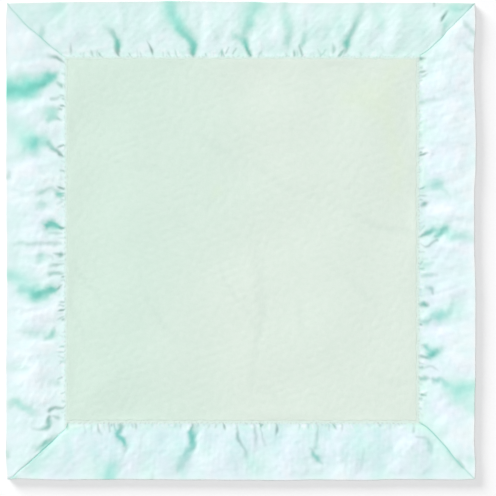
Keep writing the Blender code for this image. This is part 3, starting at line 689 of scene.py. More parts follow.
# Where the plush looks yellower
PLUSH_SUNNED = (
    ((350, 98, 20, 80), (366, 96, 30, 100), (380, 104, 28, 100), (384, 88, 20, 80),
     (392, 72, 16, 80), (404, 62, 14, 70)),
    ((388, 120, 12, 70), (392, 142, 14, 80), (398, 164, 14, 80), (394, 190, 12, 60)),
    ((218, 190, 8, 70), (216, 194, 9, 70)),
)
PLUSH_YELLOW = (1.0, 1.006, 0.94)
PLUSH_DEPTH = 0.012  # of a crease, as a share of its width

# The stitches
STITCH_SHARE, SEAM_STITCH_SHARE = 0.86, 0.8  # how much of its pitch each stitch fills
SEAM_STITCH_TURN = math.radians(62)
STITCH_SUNK, BOBBIN_SUNK = 0.12 * MM, 0.3 * MM
STITCH_ARC_POINTS, THREAD_SIDES = 7, 6
STITCH_ARC = 0.9  # height of a stitch's arc, in radii of the thread
CORNER_RADIUS, CORNER_STEPS = 2 * MM, 6
SEAM_START, SEAM_END_SHARE, SEAM_POINTS = 3 * MM, 0.9, 40

# The stage
FLOOR_REACH = 3.0
FLOOR_DROP = 0.02 * MM  # the cloth rests on the floor and isn't in its plane
FLOOR_COLOUR, FLOOR_GLOW = (0.65, 0.65, 0.655), 0.36
WHITE = (1.0, 1.0, 1.0)
WORLD_COLOUR, WORLD_LIGHT = (0.97, 0.985, 1.0), 0.27
KEY_PLACE, KEY_ANGLE = (-1.99, 2.06, 0.88), math.radians(28)
OVERHEAD_PLACE, OVERHEAD_WIDTH = (0.05, -0.25, 2.1), 1.8


class SatinLook(bpy.types.PropertyGroup):
    step: FloatProperty(
        name="Mesh step", description="Distance between the satin's points along a strip",
        default=0.78 * MM, unit="LENGTH",
    )
    loft: FloatProperty(
        name="Loft", description="How high the satin's crown stands above its edges",
        default=0.45 * MM, unit="LENGTH",
    )
    depth_per_width: FloatProperty(
        name="Fold depth", description="Depth of a fold as a share of its width", default=0.08,
    )
    ripple: FloatProperty(
        name="Ripple", description="Height of the slow ripples along the satin",
        default=0.12 * MM, unit="LENGTH",
    )
    creases: IntProperty(
        name="Creases", description="How many chance creases each strip has", default=46,
    )
    # Painted sheen: how much further the flats lie from a full painted gleam
    tone: FloatProperty(
        name="Tone", description="How much further the flats lie from a full gleam", default=0.0,
    )


class PlushLook(bpy.types.PropertyGroup):
    colour: FloatVectorProperty(
        name="Colour", description="Colour of the plush", subtype="COLOR",
        default=(0.693, 0.848, 0.747),
    )
    warm: FloatVectorProperty(
        name="Warm", description="Colour of the plush where it looks warmer", subtype="COLOR",
        default=(0.75, 0.855, 0.765),
    )
    wave: FloatProperty(
        name="Wave", description="Height of the slow waves of the panel", default=0.14 * MM,
        unit="LENGTH",
    )
    step: FloatProperty(
        name="Mesh step", description="Distance between the plush's points", default=1.45 * MM,
        unit="LENGTH",
    )


class StitchLook(bpy.types.PropertyGroup):
    pitch: FloatProperty(
        name="Stitch length", description="From one stitch to the next", default=2.9 * MM,
        unit="LENGTH",
    )
    seam_pitch: FloatProperty(
        name="Seam stitch length", description="From one stitch of a corner seam to the next",
        default=1.8 * MM, unit="LENGTH",
    )
    colour: FloatVectorProperty(
        name="Colour", description="Colour of the thread", subtype="COLOR",
        default=(0.74, 0.93, 0.90),
    )


class StageLook(bpy.types.PropertyGroup):
    lens: FloatProperty(name="Lens", description="Focal length in millimetres", default=100.0)
    seed: IntProperty(name="Seed", description="Chooses the chance puckers", default=4)
    key: FloatProperty(
        name="Key light", description="Strength of the far soft light from the upper left",
        default=4.45,
    )
    overhead: FloatProperty(
        name="Overhead light", description="Power of the wide light above", default=17.0,
        unit="POWER",
    )


class Wire:
    """One output of a material's node, which takes part in sums."""

    def __init__(self, paint, socket):
        self.paint, self.socket = paint, socket

    def __add__(self, other):
        return self.paint.math("ADD", self, other)

    def __mul__(self, other):
        return self.paint.math("MULTIPLY", self, other)

    __radd__ = __add__
    __rmul__ = __mul__


class Paint:
    """A material, and the nodes that colour it."""

    def __init__(self, name):
        self.material = bpy.data.materials.new(name)
        self.material.use_nodes = True
        self.nodes = self.material.node_tree.nodes
        self.links = self.material.node_tree.links
        self.nodes.clear()

    def add(self, kind, settings=None, sockets=None):
        """Adds a node: its settings first, then the values or wires of its sockets."""
        node = self.nodes.new(kind)
        for name, value in (settings or {}).items():
            if name == "stops":
                self.set_stops(node.color_ramp, value)
            else:
                setattr(node, name, value)
        for name, value in (sockets or {}).items():
            self.connect(node.inputs[name], value)
        return node

    def connect(self, socket, value):
        if isinstance(value, Wire):
            self.links.new(value.socket, socket)
        elif isinstance(value, (tuple, list)) and socket.type == "RGBA" and len(value) == 3:
            socket.default_value = (*value, 1.0)
        else:
            socket.default_value = value

    def set_stops(self, ramp, stops):
        while len(ramp.elements) > 1:
            ramp.elements.remove(ramp.elements[-1])
        for i, (place, colour) in enumerate(stops):
            stop = ramp.elements[0] if i == 0 else ramp.elements.new(place)
            stop.position = place
            stop.color = (*colour, 1.0)

    def wire(self, node, output=0):
        return Wire(self, node.outputs[output])

    def math(self, operation, first, second):
        node = self.add("ShaderNodeMath", {"operation": operation}, {0: first, 1: second})
        return self.wire(node)

    def clamped(self, value):
        node = self.add("ShaderNodeClamp", {}, {"Value": value})
        return self.wire(node)

    def mix(self, share, first, second, blend="MIX"):
        """Mixes two colours."""
        settings = {"data_type": "RGBA", "blend_type": blend}
        node = self.add("ShaderNodeMix", settings, {"Factor": share})
        colours = [s for s in node.inputs if s.type == "RGBA"]
        self.connect(colours[0], first)
        self.connect(colours[1], second)
        return Wire(self, [s for s in node.outputs if s.type == "RGBA"][0])

    def attribute(self, name):
        return self.wire(self.add("ShaderNodeAttribute", {"attribute_name": name}), "Fac")

    def place(self):
        return self.wire(self.add("ShaderNodeTexCoord"), "Object")

    def axes(self):
        apart = self.add("ShaderNodeSeparateXYZ", {}, {"Vector": self.place()})
        return [self.wire(apart, axis) for axis in "XYZ"]

    def noise(self, scale, detail=2.0, roughness=0.5, place=None):
        sockets = {"Scale": scale, "Detail": detail, "Roughness": roughness}
        sockets["Vector"] = place or self.place()
        return self.wire(self.add("ShaderNodeTexNoise", {}, sockets), "Fac")

    def bump(self, height, distance, strength):
        sockets = {"Height": height, "Distance": distance, "Strength": strength}
        return self.wire(self.add("ShaderNodeBump", {}, sockets), "Normal")

    def surface(self, **sockets):
        """The shader itself: each socket by its name, with _ for a space."""
        named = {name.replace("_", " "): value for name, value in sockets.items()}
        shader = self.add("ShaderNodeBsdfPrincipled", {}, named)
        out = self.add("ShaderNodeOutputMaterial")
        self.links.new(shader.outputs[0], out.inputs["Surface"])
        return self.material


def smooth(value):
    """A smooth step of a share from 0 to 1."""
    value = np.clip(value, 0, 1)
    return value * value * (3 - 2 * value)


def bell(distance):
    return np.exp(-distance * distance)


def chance_waves(points, shortest, longest, count, seed, heading=None):
    """Chance waves over the plane, about -1 to 1, running any way or mostly in one."""
    chance = np.random.default_rng(seed)
    total = np.zeros(points.shape[:-1])
    for _ in range(count):
        if heading is None:
            turn = chance.uniform(0, 2 * math.pi)
        else:
            turn = chance.normal(heading, VEERING)
        reach = chance.uniform(shortest, longest)
        start = chance.uniform(0, 2 * math.pi)
        way = points @ (math.cos(turn), math.sin(turn))
        total += np.sin(2 * math.pi * way / reach + start)
    return total / math.sqrt(count)


def from_picture(points):
    """Points of the plane, from pixels of the photograph."""
    return (np.asarray(points, float) - PICTURE_MIDDLE) * (PER_PIXEL, -PER_PIXEL)


def on_side(side, along, across):
    """Points of the plane, from distances along a side and in from its outer edge."""
    return (
        np.array(side.corner)
        + along[..., None] * np.array(side.along, float)
        + across[..., None] * np.array(side.across, float)
    )


def seam_line(corner):
    """A corner seam from the outer corner to the inner one, as shares of both satin widths."""
    share = np.linspace(0, 1, SEAM_SAMPLES)
    places, bows, _ = np.array(SEAMS[corner], float).T
    bow, ends = np.interp(share, places, bows), SEAM_SOFTENING // 2
    bow[ends:-ends] = np.convolve(bow, np.full(SEAM_SOFTENING, 1 / SEAM_SOFTENING), "valid")
    return share - bow / 2, share + bow / 2


def seam_distance(side, corner, beside, across):
    """How far along a side its corner seam runs, at distances in from the outer edge."""
    level, upright = seam_line(corner)
    if side.along[0] == 0:
        level, upright = upright, level
    return np.interp(across, upright * side.trim, level * beside)


def strip_ends(side, across):
    start = seam_distance(side, side.seams[0], side.before, across)
    end = side.length - seam_distance(side, side.seams[1], side.after, across)
    return start, end


def from_seams(side, along, across):
    """How far points lie from the nearer corner seam, and how dark the seam's painted shade is
    beside them.
    """
    start, end = strip_ends(side, across)
    shares = np.clip(across / side.trim, 0, 1)
    seams = (np.array(SEAMS[corner], float).T for corner in side.seams)
    darks = (np.interp(shares, places, dark) for places, _, dark in seams)
    return np.minimum(along - start, end - along), np.where(along - start < end - along, *darks)


def sway(side, along):
    """How far the outer edge lies outwards of its straight line."""
    drawn = np.array([(0, 0), *EDGE_SWAY[side.name], (1, 0)], float)
    share = along / side.length
    weight = bell(np.abs(share[..., None] - drawn[:, 0]) / SWAY_REACH) + TINY
    return (weight * drawn[:, 1]).sum(-1) / weight.sum(-1) * MM


def swayed(side, along, across):
    """Points of the plane like those of on_side, with the outer edge swaying."""
    free = np.clip(1 - across / SWAY_DEPTH, 0, 1) ** 2
    free = free * smooth(from_seams(side, along, across)[0] / SWAY_RUN)
    return on_side(side, along, across - sway(side, along) * free)


def lip_stray(side, along, seed):
    """How far the satin's inner edge strays inwards of its straight line."""
    route = np.stack([along, np.zeros(along.shape)], axis=-1)
    ends = np.minimum(along - side.before, side.length - side.after - along)
    waves = chance_waves(route, *LIP_STRAYS, seed + SEED_STEP * SIDES.index(side), 0.0)
    return LIP_STRAY * waves * smooth(ends / LIP_STRAY_RUN)


def curved(line):
    """A smooth curve through a fold's points, with their widths and darkness."""
    ends = np.concatenate([2 * line[:1] - line[1:2], line, 2 * line[-1:] - line[-2:-1]])
    made = []
    for i in range(1, len(ends) - 2):
        before, start, end, after = ends[i - 1:i + 3]
        bend, twist = 2 * before - 5 * start + 4 * end - after, 3 * start - before - 3 * end + after
        for t in np.arange(CURVE_STEPS) / CURVE_STEPS:
            made.append((2 * start + (end - before) * t + bend * t * t + twist * t ** 3) / 2)
    return np.array(made + [line[-1]])


def nearest(points, line):
    """Distance from a fold's line in half widths, and the line's width and darkness there."""
    best = np.full(len(points), np.inf)
    found = np.zeros((len(points), 2))
    for start, end in zip(line[:-1], line[1:]):
        run = end[:2] - start[:2]
        share = np.clip((points - start[:2]) @ run / max(run @ run, TINY), 0, 1)[:, None]
        here = start + share * (end - start)
        reach = np.linalg.norm(points - here[:, :2], axis=-1) / (here[:, 2] / 2)
        closer = reach < best
        best = np.where(closer, reach, best)
        found = np.where(closer[:, None], here[:, 2:], found)
    return best, found[:, 0], found[:, 1]


def seen(folds):
    """Folds that the photograph shows, in metres."""
    for points in folds:
        table = np.array(points, float)
        width, dark = table[:, 2] * PER_PIXEL, table[:, 3] / 100
        yield np.column_stack([from_picture(table[:, :2]), width, dark])


def chance_creases(side, count, seed):
    """Soft creases of chance: long ones here and there, and short ones by the stitching."""
    chance = np.random.default_rng(seed)
    scale = np.array((side.length, side.trim - HEM_LIP))

    def crease(points):
        table = np.array(points, float)
        place = on_side(side, *(table[:, :2] * scale).T)
        return np.column_stack([place, table[:, 2] * MM, table[:, 3]])

    for _ in range(count):
        along, across = (chance.uniform(*reach) for reach in CREASE_PLACES)
        lean, reach = chance.normal(0, CREASE_LEAN), chance.uniform(*CREASE_REACH) * MM
        bend, width = chance.normal(0, CREASE_BEND), chance.uniform(*CREASE_WIDTH)
        dark = chance.choice(CREASE_TONES) * chance.uniform(*CREASE_STRENGTH)
        yield crease(
            [
                (
                    along + t * reach * math.sin(lean + bend * t) / scale[0],
                    across + t * reach * math.cos(lean + bend * t) / scale[1],
                    width * (1 - CREASE_THINS * t * t), dark * (1 - CREASE_FADES * t * t),
                )
                for t in CREASE_STEPS
            ]
        )
    along = PUCKERS_FROM
    while along < PUCKERS_TO:
        busy = PUCKER_REST + PUCKER_BUSY * math.sin(along * PUCKER_BEAT + seed) ** 2
        reach, dark = (chance.uniform(*share) * busy for share in (PUCKER_REACH, PUCKER_TONE))
        width, lean = chance.uniform(*PUCKER_WIDTH), chance.normal(0, PUCKER_LEAN)
        yield crease(
            (
                (along, PUCKER_START, PUCKER_TIP * width, dark),
                (along + lean / 2, 1 - reach / 2, width, dark),
                (along + lean, 1 - reach, PUCKER_TIP * width, PUCKER_FADE * dark),
            )
        )
        along += chance.uniform(*PUCKER_GAP)


def crown(share, from_seam, loft):
    """The smooth front leaf, at shares of the way from the outer fold to the stitching."""
    swell = np.sin(math.pi * np.clip(share, 0, 1)) ** 2
    edges = FOLD_TOP + (STITCH_TOP - FOLD_TOP) * np.clip(share, 0, 1)
    return edges + loft * swell * (1 - CROWN_LOSS * bell(from_seam / CROWN_RUN))


def lay_folds(side, spots, look, seed):
    """A strip's folds at points of the plane: height, and light left, gleam and shade, all painted.
    """
    (far, long_waves), (near, short_waves) = FOLD_STRAYS
    wander = np.stack(
        [
            far * chance_waves(spots, *long_waves, seed + k)
            + near * chance_waves(spots, *short_waves, seed + k + 2) for k in (11, 12)
        ],
        axis=-1,
    )
    height, light = np.zeros(len(spots)), np.ones(len(spots))
    gleam, shade = np.zeros(len(spots)), np.zeros(len(spots))
    for points in (*seen(FOLDS[side.name]), *chance_creases(side, look.creases, seed + 3)):
        line = curved(points)
        widest = line[:, 2].max()
        shift, margin = TOWARDS_LIGHT * widest * FOLD_SHIFT, FOLD_MARGIN * widest
        low, high = line[:, :2].min(0) - margin, line[:, :2].max(0) + margin
        close = np.flatnonzero(((spots > low) & (spots < high)).all(-1))
        if not len(close):
            continue
        here = spots[close] + wander[close] * min(1.0, widest / STRAY_WIDTH)
        reach, width, dark = nearest(here, line)
        streak = bell(reach / STREAK)
        # A fold's darkness is painted shade: it turns the tone towards turquoise and, in narrow
        # folds, also dims the colour
        if points[:, 3].max() > 0:
            narrow = np.interp(width, *SHADED_WIDTHS)
            tone_share = 1 - SHADE_FOR_TONE * narrow
            light[close] *= 1 - np.clip(dark, 0, DARKEST) * tone_share * streak
            shade[close] = np.maximum(shade[close], narrow * dark ** SHADE_POWER * streak)
            for way, part in ((1, -1), (-1, CREST_SHARE)):
                reach, width, dark = nearest(here + way * shift, line)
                deep = look.depth_per_width * np.minimum(width, RELIEF_WIDTH)
                deep *= RELIEF_LEAST + (1 - RELIEF_LEAST) * dark
                height[close] += part * deep * bell(reach / RELIEF)
        else:
            # A swelling's gleam is a painted highlight
            gleam[close] = np.maximum(gleam[close], -dark * streak)
            height[close] += SWELLING * width * -dark * streak
    return height, light, gleam, shade


def front_leaf(side, along, across, look, seed):
    """The front leaf's height, how far its painted sheen is from a full gleam, and its painted
    shade.
    """
    stitch = side.trim - HEM_LIP
    share = (across - FOLD_REACH) / (stitch - FOLD_REACH)
    from_seam, seam_dark = from_seams(side, along, across)
    spots = on_side(side, along, across).reshape(-1, 2)
    height, light, gleam, shade = lay_folds(side, spots, look, seed)
    heading = math.atan2(side.along[1], side.along[0])
    height += look.ripple * chance_waves(spots, *SATIN_RIPPLES, seed + 1, heading)
    height += SATIN_CRINKLE * chance_waves(spots, *SATIN_CRINKLES, seed + 2)
    height, light, gleam, shade = (x.reshape(share.shape) for x in (height, light, gleam, shade))
    held = EDGE_FREE + (1 - EDGE_FREE) * smooth(share / HELD_BY_EDGE)
    held = np.where(share < 1, held * smooth((1 - share) / HELD_BY_STITCHES), 0)
    held = held * smooth(from_seam / HELD_BY_SEAM)
    total = crown(share, from_seam, look.loft) + held * height
    rest = PANEL_TOP + CLEARANCE + SATIN_THICKNESS
    soft = LEAST_SOFT + MORE_SOFT * smooth((1 - share) / SOFT_RUN)
    total = rest + np.logaddexp(0, (total - rest) / soft) * soft
    total -= SEAM_GROOVE * bell(from_seam / SEAM_GROOVE_REACH)
    spots = spots.reshape(*share.shape, 2)
    # The tone is painted sheen and shade: the lower, the fuller the painted gleam
    tone = look.tone + np.interp(share, THREE_PLACES, TONES[side.name])
    for (strength, waves), k, way in zip(TONE_DRIFTS, (8, 9), (heading, None)):
        tone += strength * chance_waves(spots, *waves, seed + k, way)
    tone = np.clip(tone - GLEAM_FOR_TONE * gleam, 0, 1) ** TONE_POWER + (1 - light) ** TONE_POWER
    # Painted shade along the corner seams, and a painted darker tone beside them
    seam = seam_dark * bell(from_seam / SEAM_SHADE_REACH)
    beside = SEAM_TONE * (seam + SEAM_SOFT * bell(from_seam / SEAM_SOFT_REACH))
    tone = np.clip(tone ** (1 / TONE_POWER) + beside, 0, 1)
    return total, tone, np.maximum(shade, SEAM_SHADE * seam)


def lip_part(side, along, across, tone, shade, seed, stray_seed):
    """The lip inside the stitching, from the tone and shade there: the values of its rows."""
    over = (across - side.trim + HEM_LIP) / HEM_LIP
    leaf_share = (1 - over) ** 2
    fine = chance_waves(on_side(side, along, across), *LIP_ROUNDS, seed + 5)
    height = STITCH_TOP + LIP_ROUND * np.sin(math.pi * over) * (1 + fine)
    across = across + lip_stray(side, along, stray_seed) * over ** 2
    tone = tone * leaf_share + (LIP_TONE + LIP_TONE_VARIES * fine) * (1 - leaf_share)
    dashes = chance_waves(on_side(side, along, across), *LIP_DASH_WAVES, seed + 6)
    # On the two sides whose inner edge faces the light, the plush's colour reaches further over and
    # a painted shade darkens the edge; the dashes are painted shadows between the stitches
    blend, edge_shade = LIP_BLENDS[side.name]
    shade = shade * leaf_share + edge_shade * bell((over - LIP_SHADE_PLACE) / DASH_REACH)
    shade += LIP_DASHES * np.clip(dashes, 0, 1) * bell((over - DASH_PLACE) / DASH_REACH)
    nap = smooth(over * NAP_STEEP + blend * smooth(over * NAP_BLEND_STEEP))
    return along, across, height, tone, shade, nap


def back_leaf(side, along, across, seed):
    """The back leaf's height and tone, from the outer fold to under the stitching."""
    rise = smooth((across - (side.trim - HEM_LIP - BACK_RISE_RUN)) / BACK_RISE_RUN)
    slack = smooth((across - FOLD_REACH) / BACK_RIPPLE_RUN)
    slack *= smooth((side.trim - across) / BACK_RIPPLE_RUN)
    waves = chance_waves(on_side(side, along, across), *BACK_RIPPLES, seed + 7)
    ripple = slack * np.abs(waves)
    return BACK_RISE * rise + BACK_RIPPLE * ripple, BACK_TONE + BACK_TONE_VARIES * ripple


def satin_tints(side, along, across, seed):
    """How strongly each of the satin's tints shows."""
    stitch = side.trim - HEM_LIP
    spots = on_side(side, along, across)
    tint = np.interp(across / stitch, THREE_PLACES, TINTS[side.name])
    tint += TINT_VARIES * chance_waves(spots, *TINT_DRIFTS, seed + 10)
    by_seam = bell(from_seams(side, along, across)[0] / SEAM_TINT_REACH)
    tint = tint * (1 - by_seam) + SEAM_TINT * by_seam
    patchy = chance_waves(spots, *SEWN_PATCHES, seed + 12)
    sewn = np.clip(bell((across - stitch) / SEWN_REACH) * (SEWN + SEWN_VARIES * patchy), 0, 1)
    return {
        "cool": np.clip(tint, 0, 1), "warm": np.clip(-tint, 0, 1),
        "edge": bell(across / EDGE_REACH), "sewn": sewn,
        "sewn_warm": sewn * (side.name in ("bottom", "right")),
    }


def satin_rows(side):
    """Distances in from the outer edge of the rows on the back leaf, front leaf and lip."""
    stitch = side.trim - HEM_LIP
    back = np.concatenate([
        np.linspace(side.trim, stitch, HEM_ROWS), stitch - np.array(BACK_LINES) * MM,
        np.linspace(stitch - BACK_FIRST, FOLD_REACH + BACK_LAST, BACK_ROWS),
    ])
    share = np.linspace(0, 1, LEAF_ROWS)
    share = share + ROWS_DRAWN_IN * np.sin(math.pi * share) / math.pi
    leaf = FOLD_REACH + (stitch - FOLD_REACH) * share
    leaf = np.insert(leaf, 1, FOLD_REACH + EDGE_ROW)
    return back, leaf, stitch + HEM_LIP * np.array(LIP_ROW_SHARES)


def satin_grid(side, look, seed, stray_seed):
    """The folded ribbon as rows of points, with the shares of the colours that meet at each."""
    steps = round(side.length / look.step) + 2
    edge = EDGE_ROW / side.length
    share = np.concatenate([[0], np.linspace(edge, 1 - edge, steps - 1), [1]])

    def spread(across):
        start, end = strip_ends(side, across)
        along = start[:, None] + (end - start)[:, None] * share
        return along, np.repeat(across[:, None], steps + 1, axis=1)

    back_rows, leaf_rows, lip_rows = satin_rows(side)
    back, leaf = spread(back_rows), spread(leaf_rows)
    back_height, back_tone = back_leaf(side, *back, seed)
    height, tone, shade = front_leaf(side, *leaf, look, seed)
    lip = lip_part(side, *spread(lip_rows), tone[-1], shade[-1], seed, stray_seed)
    lip_along, lip_across, lip_height, lip_tone, lip_shade, lip_nap = lip

    turn = np.linspace(-math.pi / 2, math.pi / 2, FOLD_ROWS)[:-1]
    fold = spread(FOLD_REACH * (1 - np.cos(turn)))
    fold_height = height[0] / 2 * (1 + np.sin(turn))[:, None]
    fold_tone = np.repeat(tone[:1], len(turn), axis=0)

    along = np.concatenate([back[0], fold[0], leaf[0], lip_along])
    across = np.concatenate([back[1], fold[1], leaf[1], lip_across])
    height = np.concatenate([back_height, fold_height, height, lip_height])
    tone = np.concatenate([back_tone, fold_tone, tone, lip_tone])
    shade = np.concatenate([np.zeros((len(back_rows) + len(turn), steps + 1)), shade, lip_shade])
    nap = np.zeros(tone.shape)
    nap[-len(lip_rows):] = lip_nap
    points = np.concatenate([swayed(side, along, across), height[..., None]], axis=-1)
    return points, {
        "tone": tone, "shade": shade, "nap": nap, "along": along, "across": across,
        **satin_tints(side, along, across, seed),
    }


def placed(name, data):
    """A new object, linked to the scene."""
    made = bpy.data.objects.new(name, data)
    bpy.context.scene.collection.objects.link(made)
    return made


def grid_faces(rows, columns, flipped):
    index = np.arange(rows * columns).reshape(rows, columns)
    quads = np.stack(
        [index[:-1, :-1], index[:-1, 1:], index[1:, 1:], index[1:, :-1]], axis=-1
    ).reshape(-1, 4)
    return quads[:, ::-1] if flipped else quads


def mesh_piece(name, points, faces, attributes, surface):
    """A smooth mesh with point attributes, linked to the scene."""
    mesh = bpy.data.meshes.new(name)
    mesh.from_pydata(points.reshape(-1, 3).tolist(), [], faces.tolist())
    for key, values in attributes.items():
        layer = mesh.attributes.new(key, "FLOAT", "POINT")
        layer.data.foreach_set("value", np.ascontiguousarray(values, np.float32).ravel())
    mesh.shade_smooth()
    mesh.materials.append(surface)
    return placed(name, mesh)


def satin_paint():
    """Woven satin: near white under a painted sheen, through its own aqua to turquoise painted
    shade in its folds.
    """
    paint = Paint("ice_aqua_satin")
    # The tone: the satin's painted sheen and shade, on the ramp of its colours
    tone = paint.attribute("tone")
    ramp = paint.add("ShaderNodeValToRGB", {"stops": SATIN_TONES}, {"Fac": tone})
    colour = paint.wire(ramp, "Color")
    for name, tint in (
        ("cool", SATIN_COOL), ("warm", SATIN_WARM), ("edge", SATIN_EDGE), ("sewn", SATIN_SEWN),
        ("sewn_warm", SATIN_SEWN_WARM),
    ):
        colour = paint.mix(paint.attribute(name), colour, tint, "MULTIPLY")
    colour = paint.mix(paint.attribute("nap"), colour, LIP_COLOUR)
    # Painted shade of the seams, the narrow folds and puckers, and the lip
    colour = paint.mix(paint.attribute("shade"), colour, SATIN_SHADE, "MULTIPLY")
    # Painted dimming of the reflection along the upper and left edges, which mirror least of the
    # overhead light
    x, y, _ = paint.axes()
    upper, left = (paint.clamped(x * a + y * b + c) for a, b, c in (FAR_UPPER, FAR_LEFT))
    far = paint.clamped(upper + left * FAR_LEFT_SHARE)
    colour = paint.mix(far, colour, SATIN_DIMMED_REFLECTION, "MULTIPLY")
    along, across = paint.attribute("along"), paint.attribute("across")
    sockets = {"X": along * THREADS_ALONG, "Y": across * THREADS_ACROSS, "Z": 0.0}
    weave = paint.noise(*WEAVE, place=paint.wire(paint.add("ShaderNodeCombineXYZ", {}, sockets)))
    return paint.surface(
        Base_Color=colour,
        Roughness=0.6 + 0.1 * weave,
        Normal=paint.bump(weave, *WEAVE_BUMP),
        Specular_IOR_Level=0.3,
    )


def plush_paint(look):
    """Short plush: matt, faintly mottled at random as painted sheen and shade of nap that lies
    another way.
    """
    paint = Paint("sage_mint_plush")
    patches, slow, tufts, nap, mottle = (
        paint.noise(*kind) for kind in (PATCHES, SLOW, TUFTS, NAP, MOTTLE)
    )
    by_place, by_slow = PLUSH_WARM_BY
    warmth = paint.clamped(paint.axes()[0] * by_place + slow * by_slow)
    colour = paint.mix(warmth, tuple(look.colour), tuple(look.warm))
    for first, second, (a, b, c), share, tint in (
        (patches, mottle, PLUSH_PALE_BY, PLUSH_PALE_SHARE, PLUSH_PALE),
        (tufts, nap, PLUSH_DARK_BY, PLUSH_DARK_SHARE, PLUSH_DARK),
    ):
        colour = paint.mix(
            paint.clamped(first * a + second * b + c) * share, colour, tint, "MULTIPLY"
        )
    # Painted shade in the plush's creases
    colour = paint.mix(paint.attribute("crease"), colour, PLUSH_SHADE, "MULTIPLY")
    colour = paint.mix(paint.attribute("sunned"), colour, PLUSH_YELLOW, "MULTIPLY")
    return paint.surface(
        Base_Color=colour,
        Roughness=0.95,
        Normal=paint.bump(tufts + nap * 0.5, *PILE_BUMP),
        Sheen_Weight=0.35,
        Sheen_Roughness=0.5,
        Specular_IOR_Level=0.2,
    )


def thread_paint(look):
    """Fine twisted thread, with painted shade in the furrows of its twist."""
    paint = Paint("mint_thread")
    twist = paint.add(
        "ShaderNodeTexWave", {"bands_direction": "DIAGONAL"},
        {"Vector": paint.place(), "Scale": TWISTS, "Distortion": 1.0},
    )
    ply = paint.wire(twist, "Fac")
    darker = tuple(THREAD_FURROW_SHADE * c for c in look.colour)
    # Painted shade in the furrows of the twist
    colour = paint.mix(ply * 0.5, tuple(look.colour), darker)
    return paint.surface(
        Base_Color=colour,
        Roughness=0.42 + 0.12 * ply,
        Normal=paint.bump(ply, *PLY_BUMP),
        Sheen_Weight=0.2,
    )


class BLANKET_OT_satin(bpy.types.Operator):
    """Make the four satin strips of the binding"""

    bl_idname = "blanket.satin"
    bl_label = "Satin Binding"

    def execute(self, context):
        look, seed = context.scene.satin_look, context.scene.stage_look.seed
        surface = satin_paint()
        for number, side in enumerate(SIDES):
            points, values = satin_grid(side, look, seed + SEED_STEP * number, seed)
            turned = side.along[0] * side.across[1] - side.along[1] * side.across[0] < 0
            faces = grid_faces(*points.shape[:2], turned)
            strip = mesh_piece(f"satin_{side.name}", points, faces, values, surface)
            wall = strip.modifiers.new("thickness", "SOLIDIFY")
            wall.thickness = SATIN_THICKNESS
            wall.offset = -1
            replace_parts(strip, f"trim_{side.name}")
            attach(strip, BODY)
        return {"FINISHED"}


def panel_lines(edges, step):
    """Places of the panel's grid lines along one axis, finer where the pile rises."""
    low, high, before, after = edges
    rise = np.array(PILE_LINES) * MM
    start, end = low + before + rise, high - after - rise[::-1]
    middle = np.linspace(start[-1], end[0], round((end[0] - start[-1]) / step) + 1)[1:-1]
    return np.concatenate([[low + PANEL_EDGE], start, middle, end, [high - PANEL_EDGE]])


def clear_of_binding(lines, edges):
    """How far each line lies inside the binding's opening; below zero it is held."""
    low, high, before, after = edges
    return np.minimum(lines - low - before, high - after - lines)


def pile_rise(inside):
    """The front panel's surface: up beside the satin, then in a slow swell."""
    rise = (STITCH_TOP - PANEL_TOP) * smooth((inside - PILE_STEP) / PILE_STEP)
    for height, run in ((PILE_LIP, PILE_LIP_RUN), (PILE_SWELL, PILE_SWELL_RUN)):
        rise = rise + height * smooth(inside / run)
    return rise


def plush_marks(flat, marks, seed):
    """How strong the plush's marks are at points of the panel, and how far they lie down."""
    spots = flat.reshape(-1, 2)
    dark, low = np.zeros(len(spots)), np.zeros(len(spots))
    waves = [chance_waves(spots, *MARK_STRAYS, seed + k) for k in (2, 3)]
    wander = MARK_STRAY * np.stack(waves, axis=-1)
    for points in seen(marks):
        reach, width, depth = nearest(spots + wander, curved(points))
        streak = depth * bell(reach / MARK_STREAK)
        dark += streak
        low += PLUSH_DEPTH * width * streak
    return dark.reshape(flat.shape[:-1]), low.reshape(flat.shape[:-1])


def drawn_along(flat, stray_seed):
    """Points of the panel, moved with the straying of the satin's inner edge beside them."""
    shift = np.zeros(flat.shape)
    for side in SIDES:
        ways = np.array((side.along, side.across), float)
        along, across = ((flat - side.corner) @ way for way in ways)
        near = smooth(1 - np.abs(across - side.trim) / LIP_PULL)
        shift += (near * lip_stray(side, along, stray_seed))[..., None] * np.array(side.across)
    return flat + shift


def closed_shell(flat, upper, under):
    """Points and faces of a closed sheet that lies between two heights."""
    rows, columns = upper.shape
    count = rows * columns
    index = np.arange(count).reshape(rows, columns)
    ring = np.concatenate([index[0], index[1:, -1], index[-1, -2::-1], index[-2:0:-1, 0]])
    after = np.roll(ring, -1)
    wall = np.stack([ring + count, after + count, after, ring], axis=-1)
    faces = np.concatenate(
        [grid_faces(rows, columns, False), grid_faces(rows, columns, True) + count, wall]
    )
    leaves = [np.concatenate([flat, x[..., None]], axis=-1) for x in (upper, under)]
    return np.stack(leaves), faces


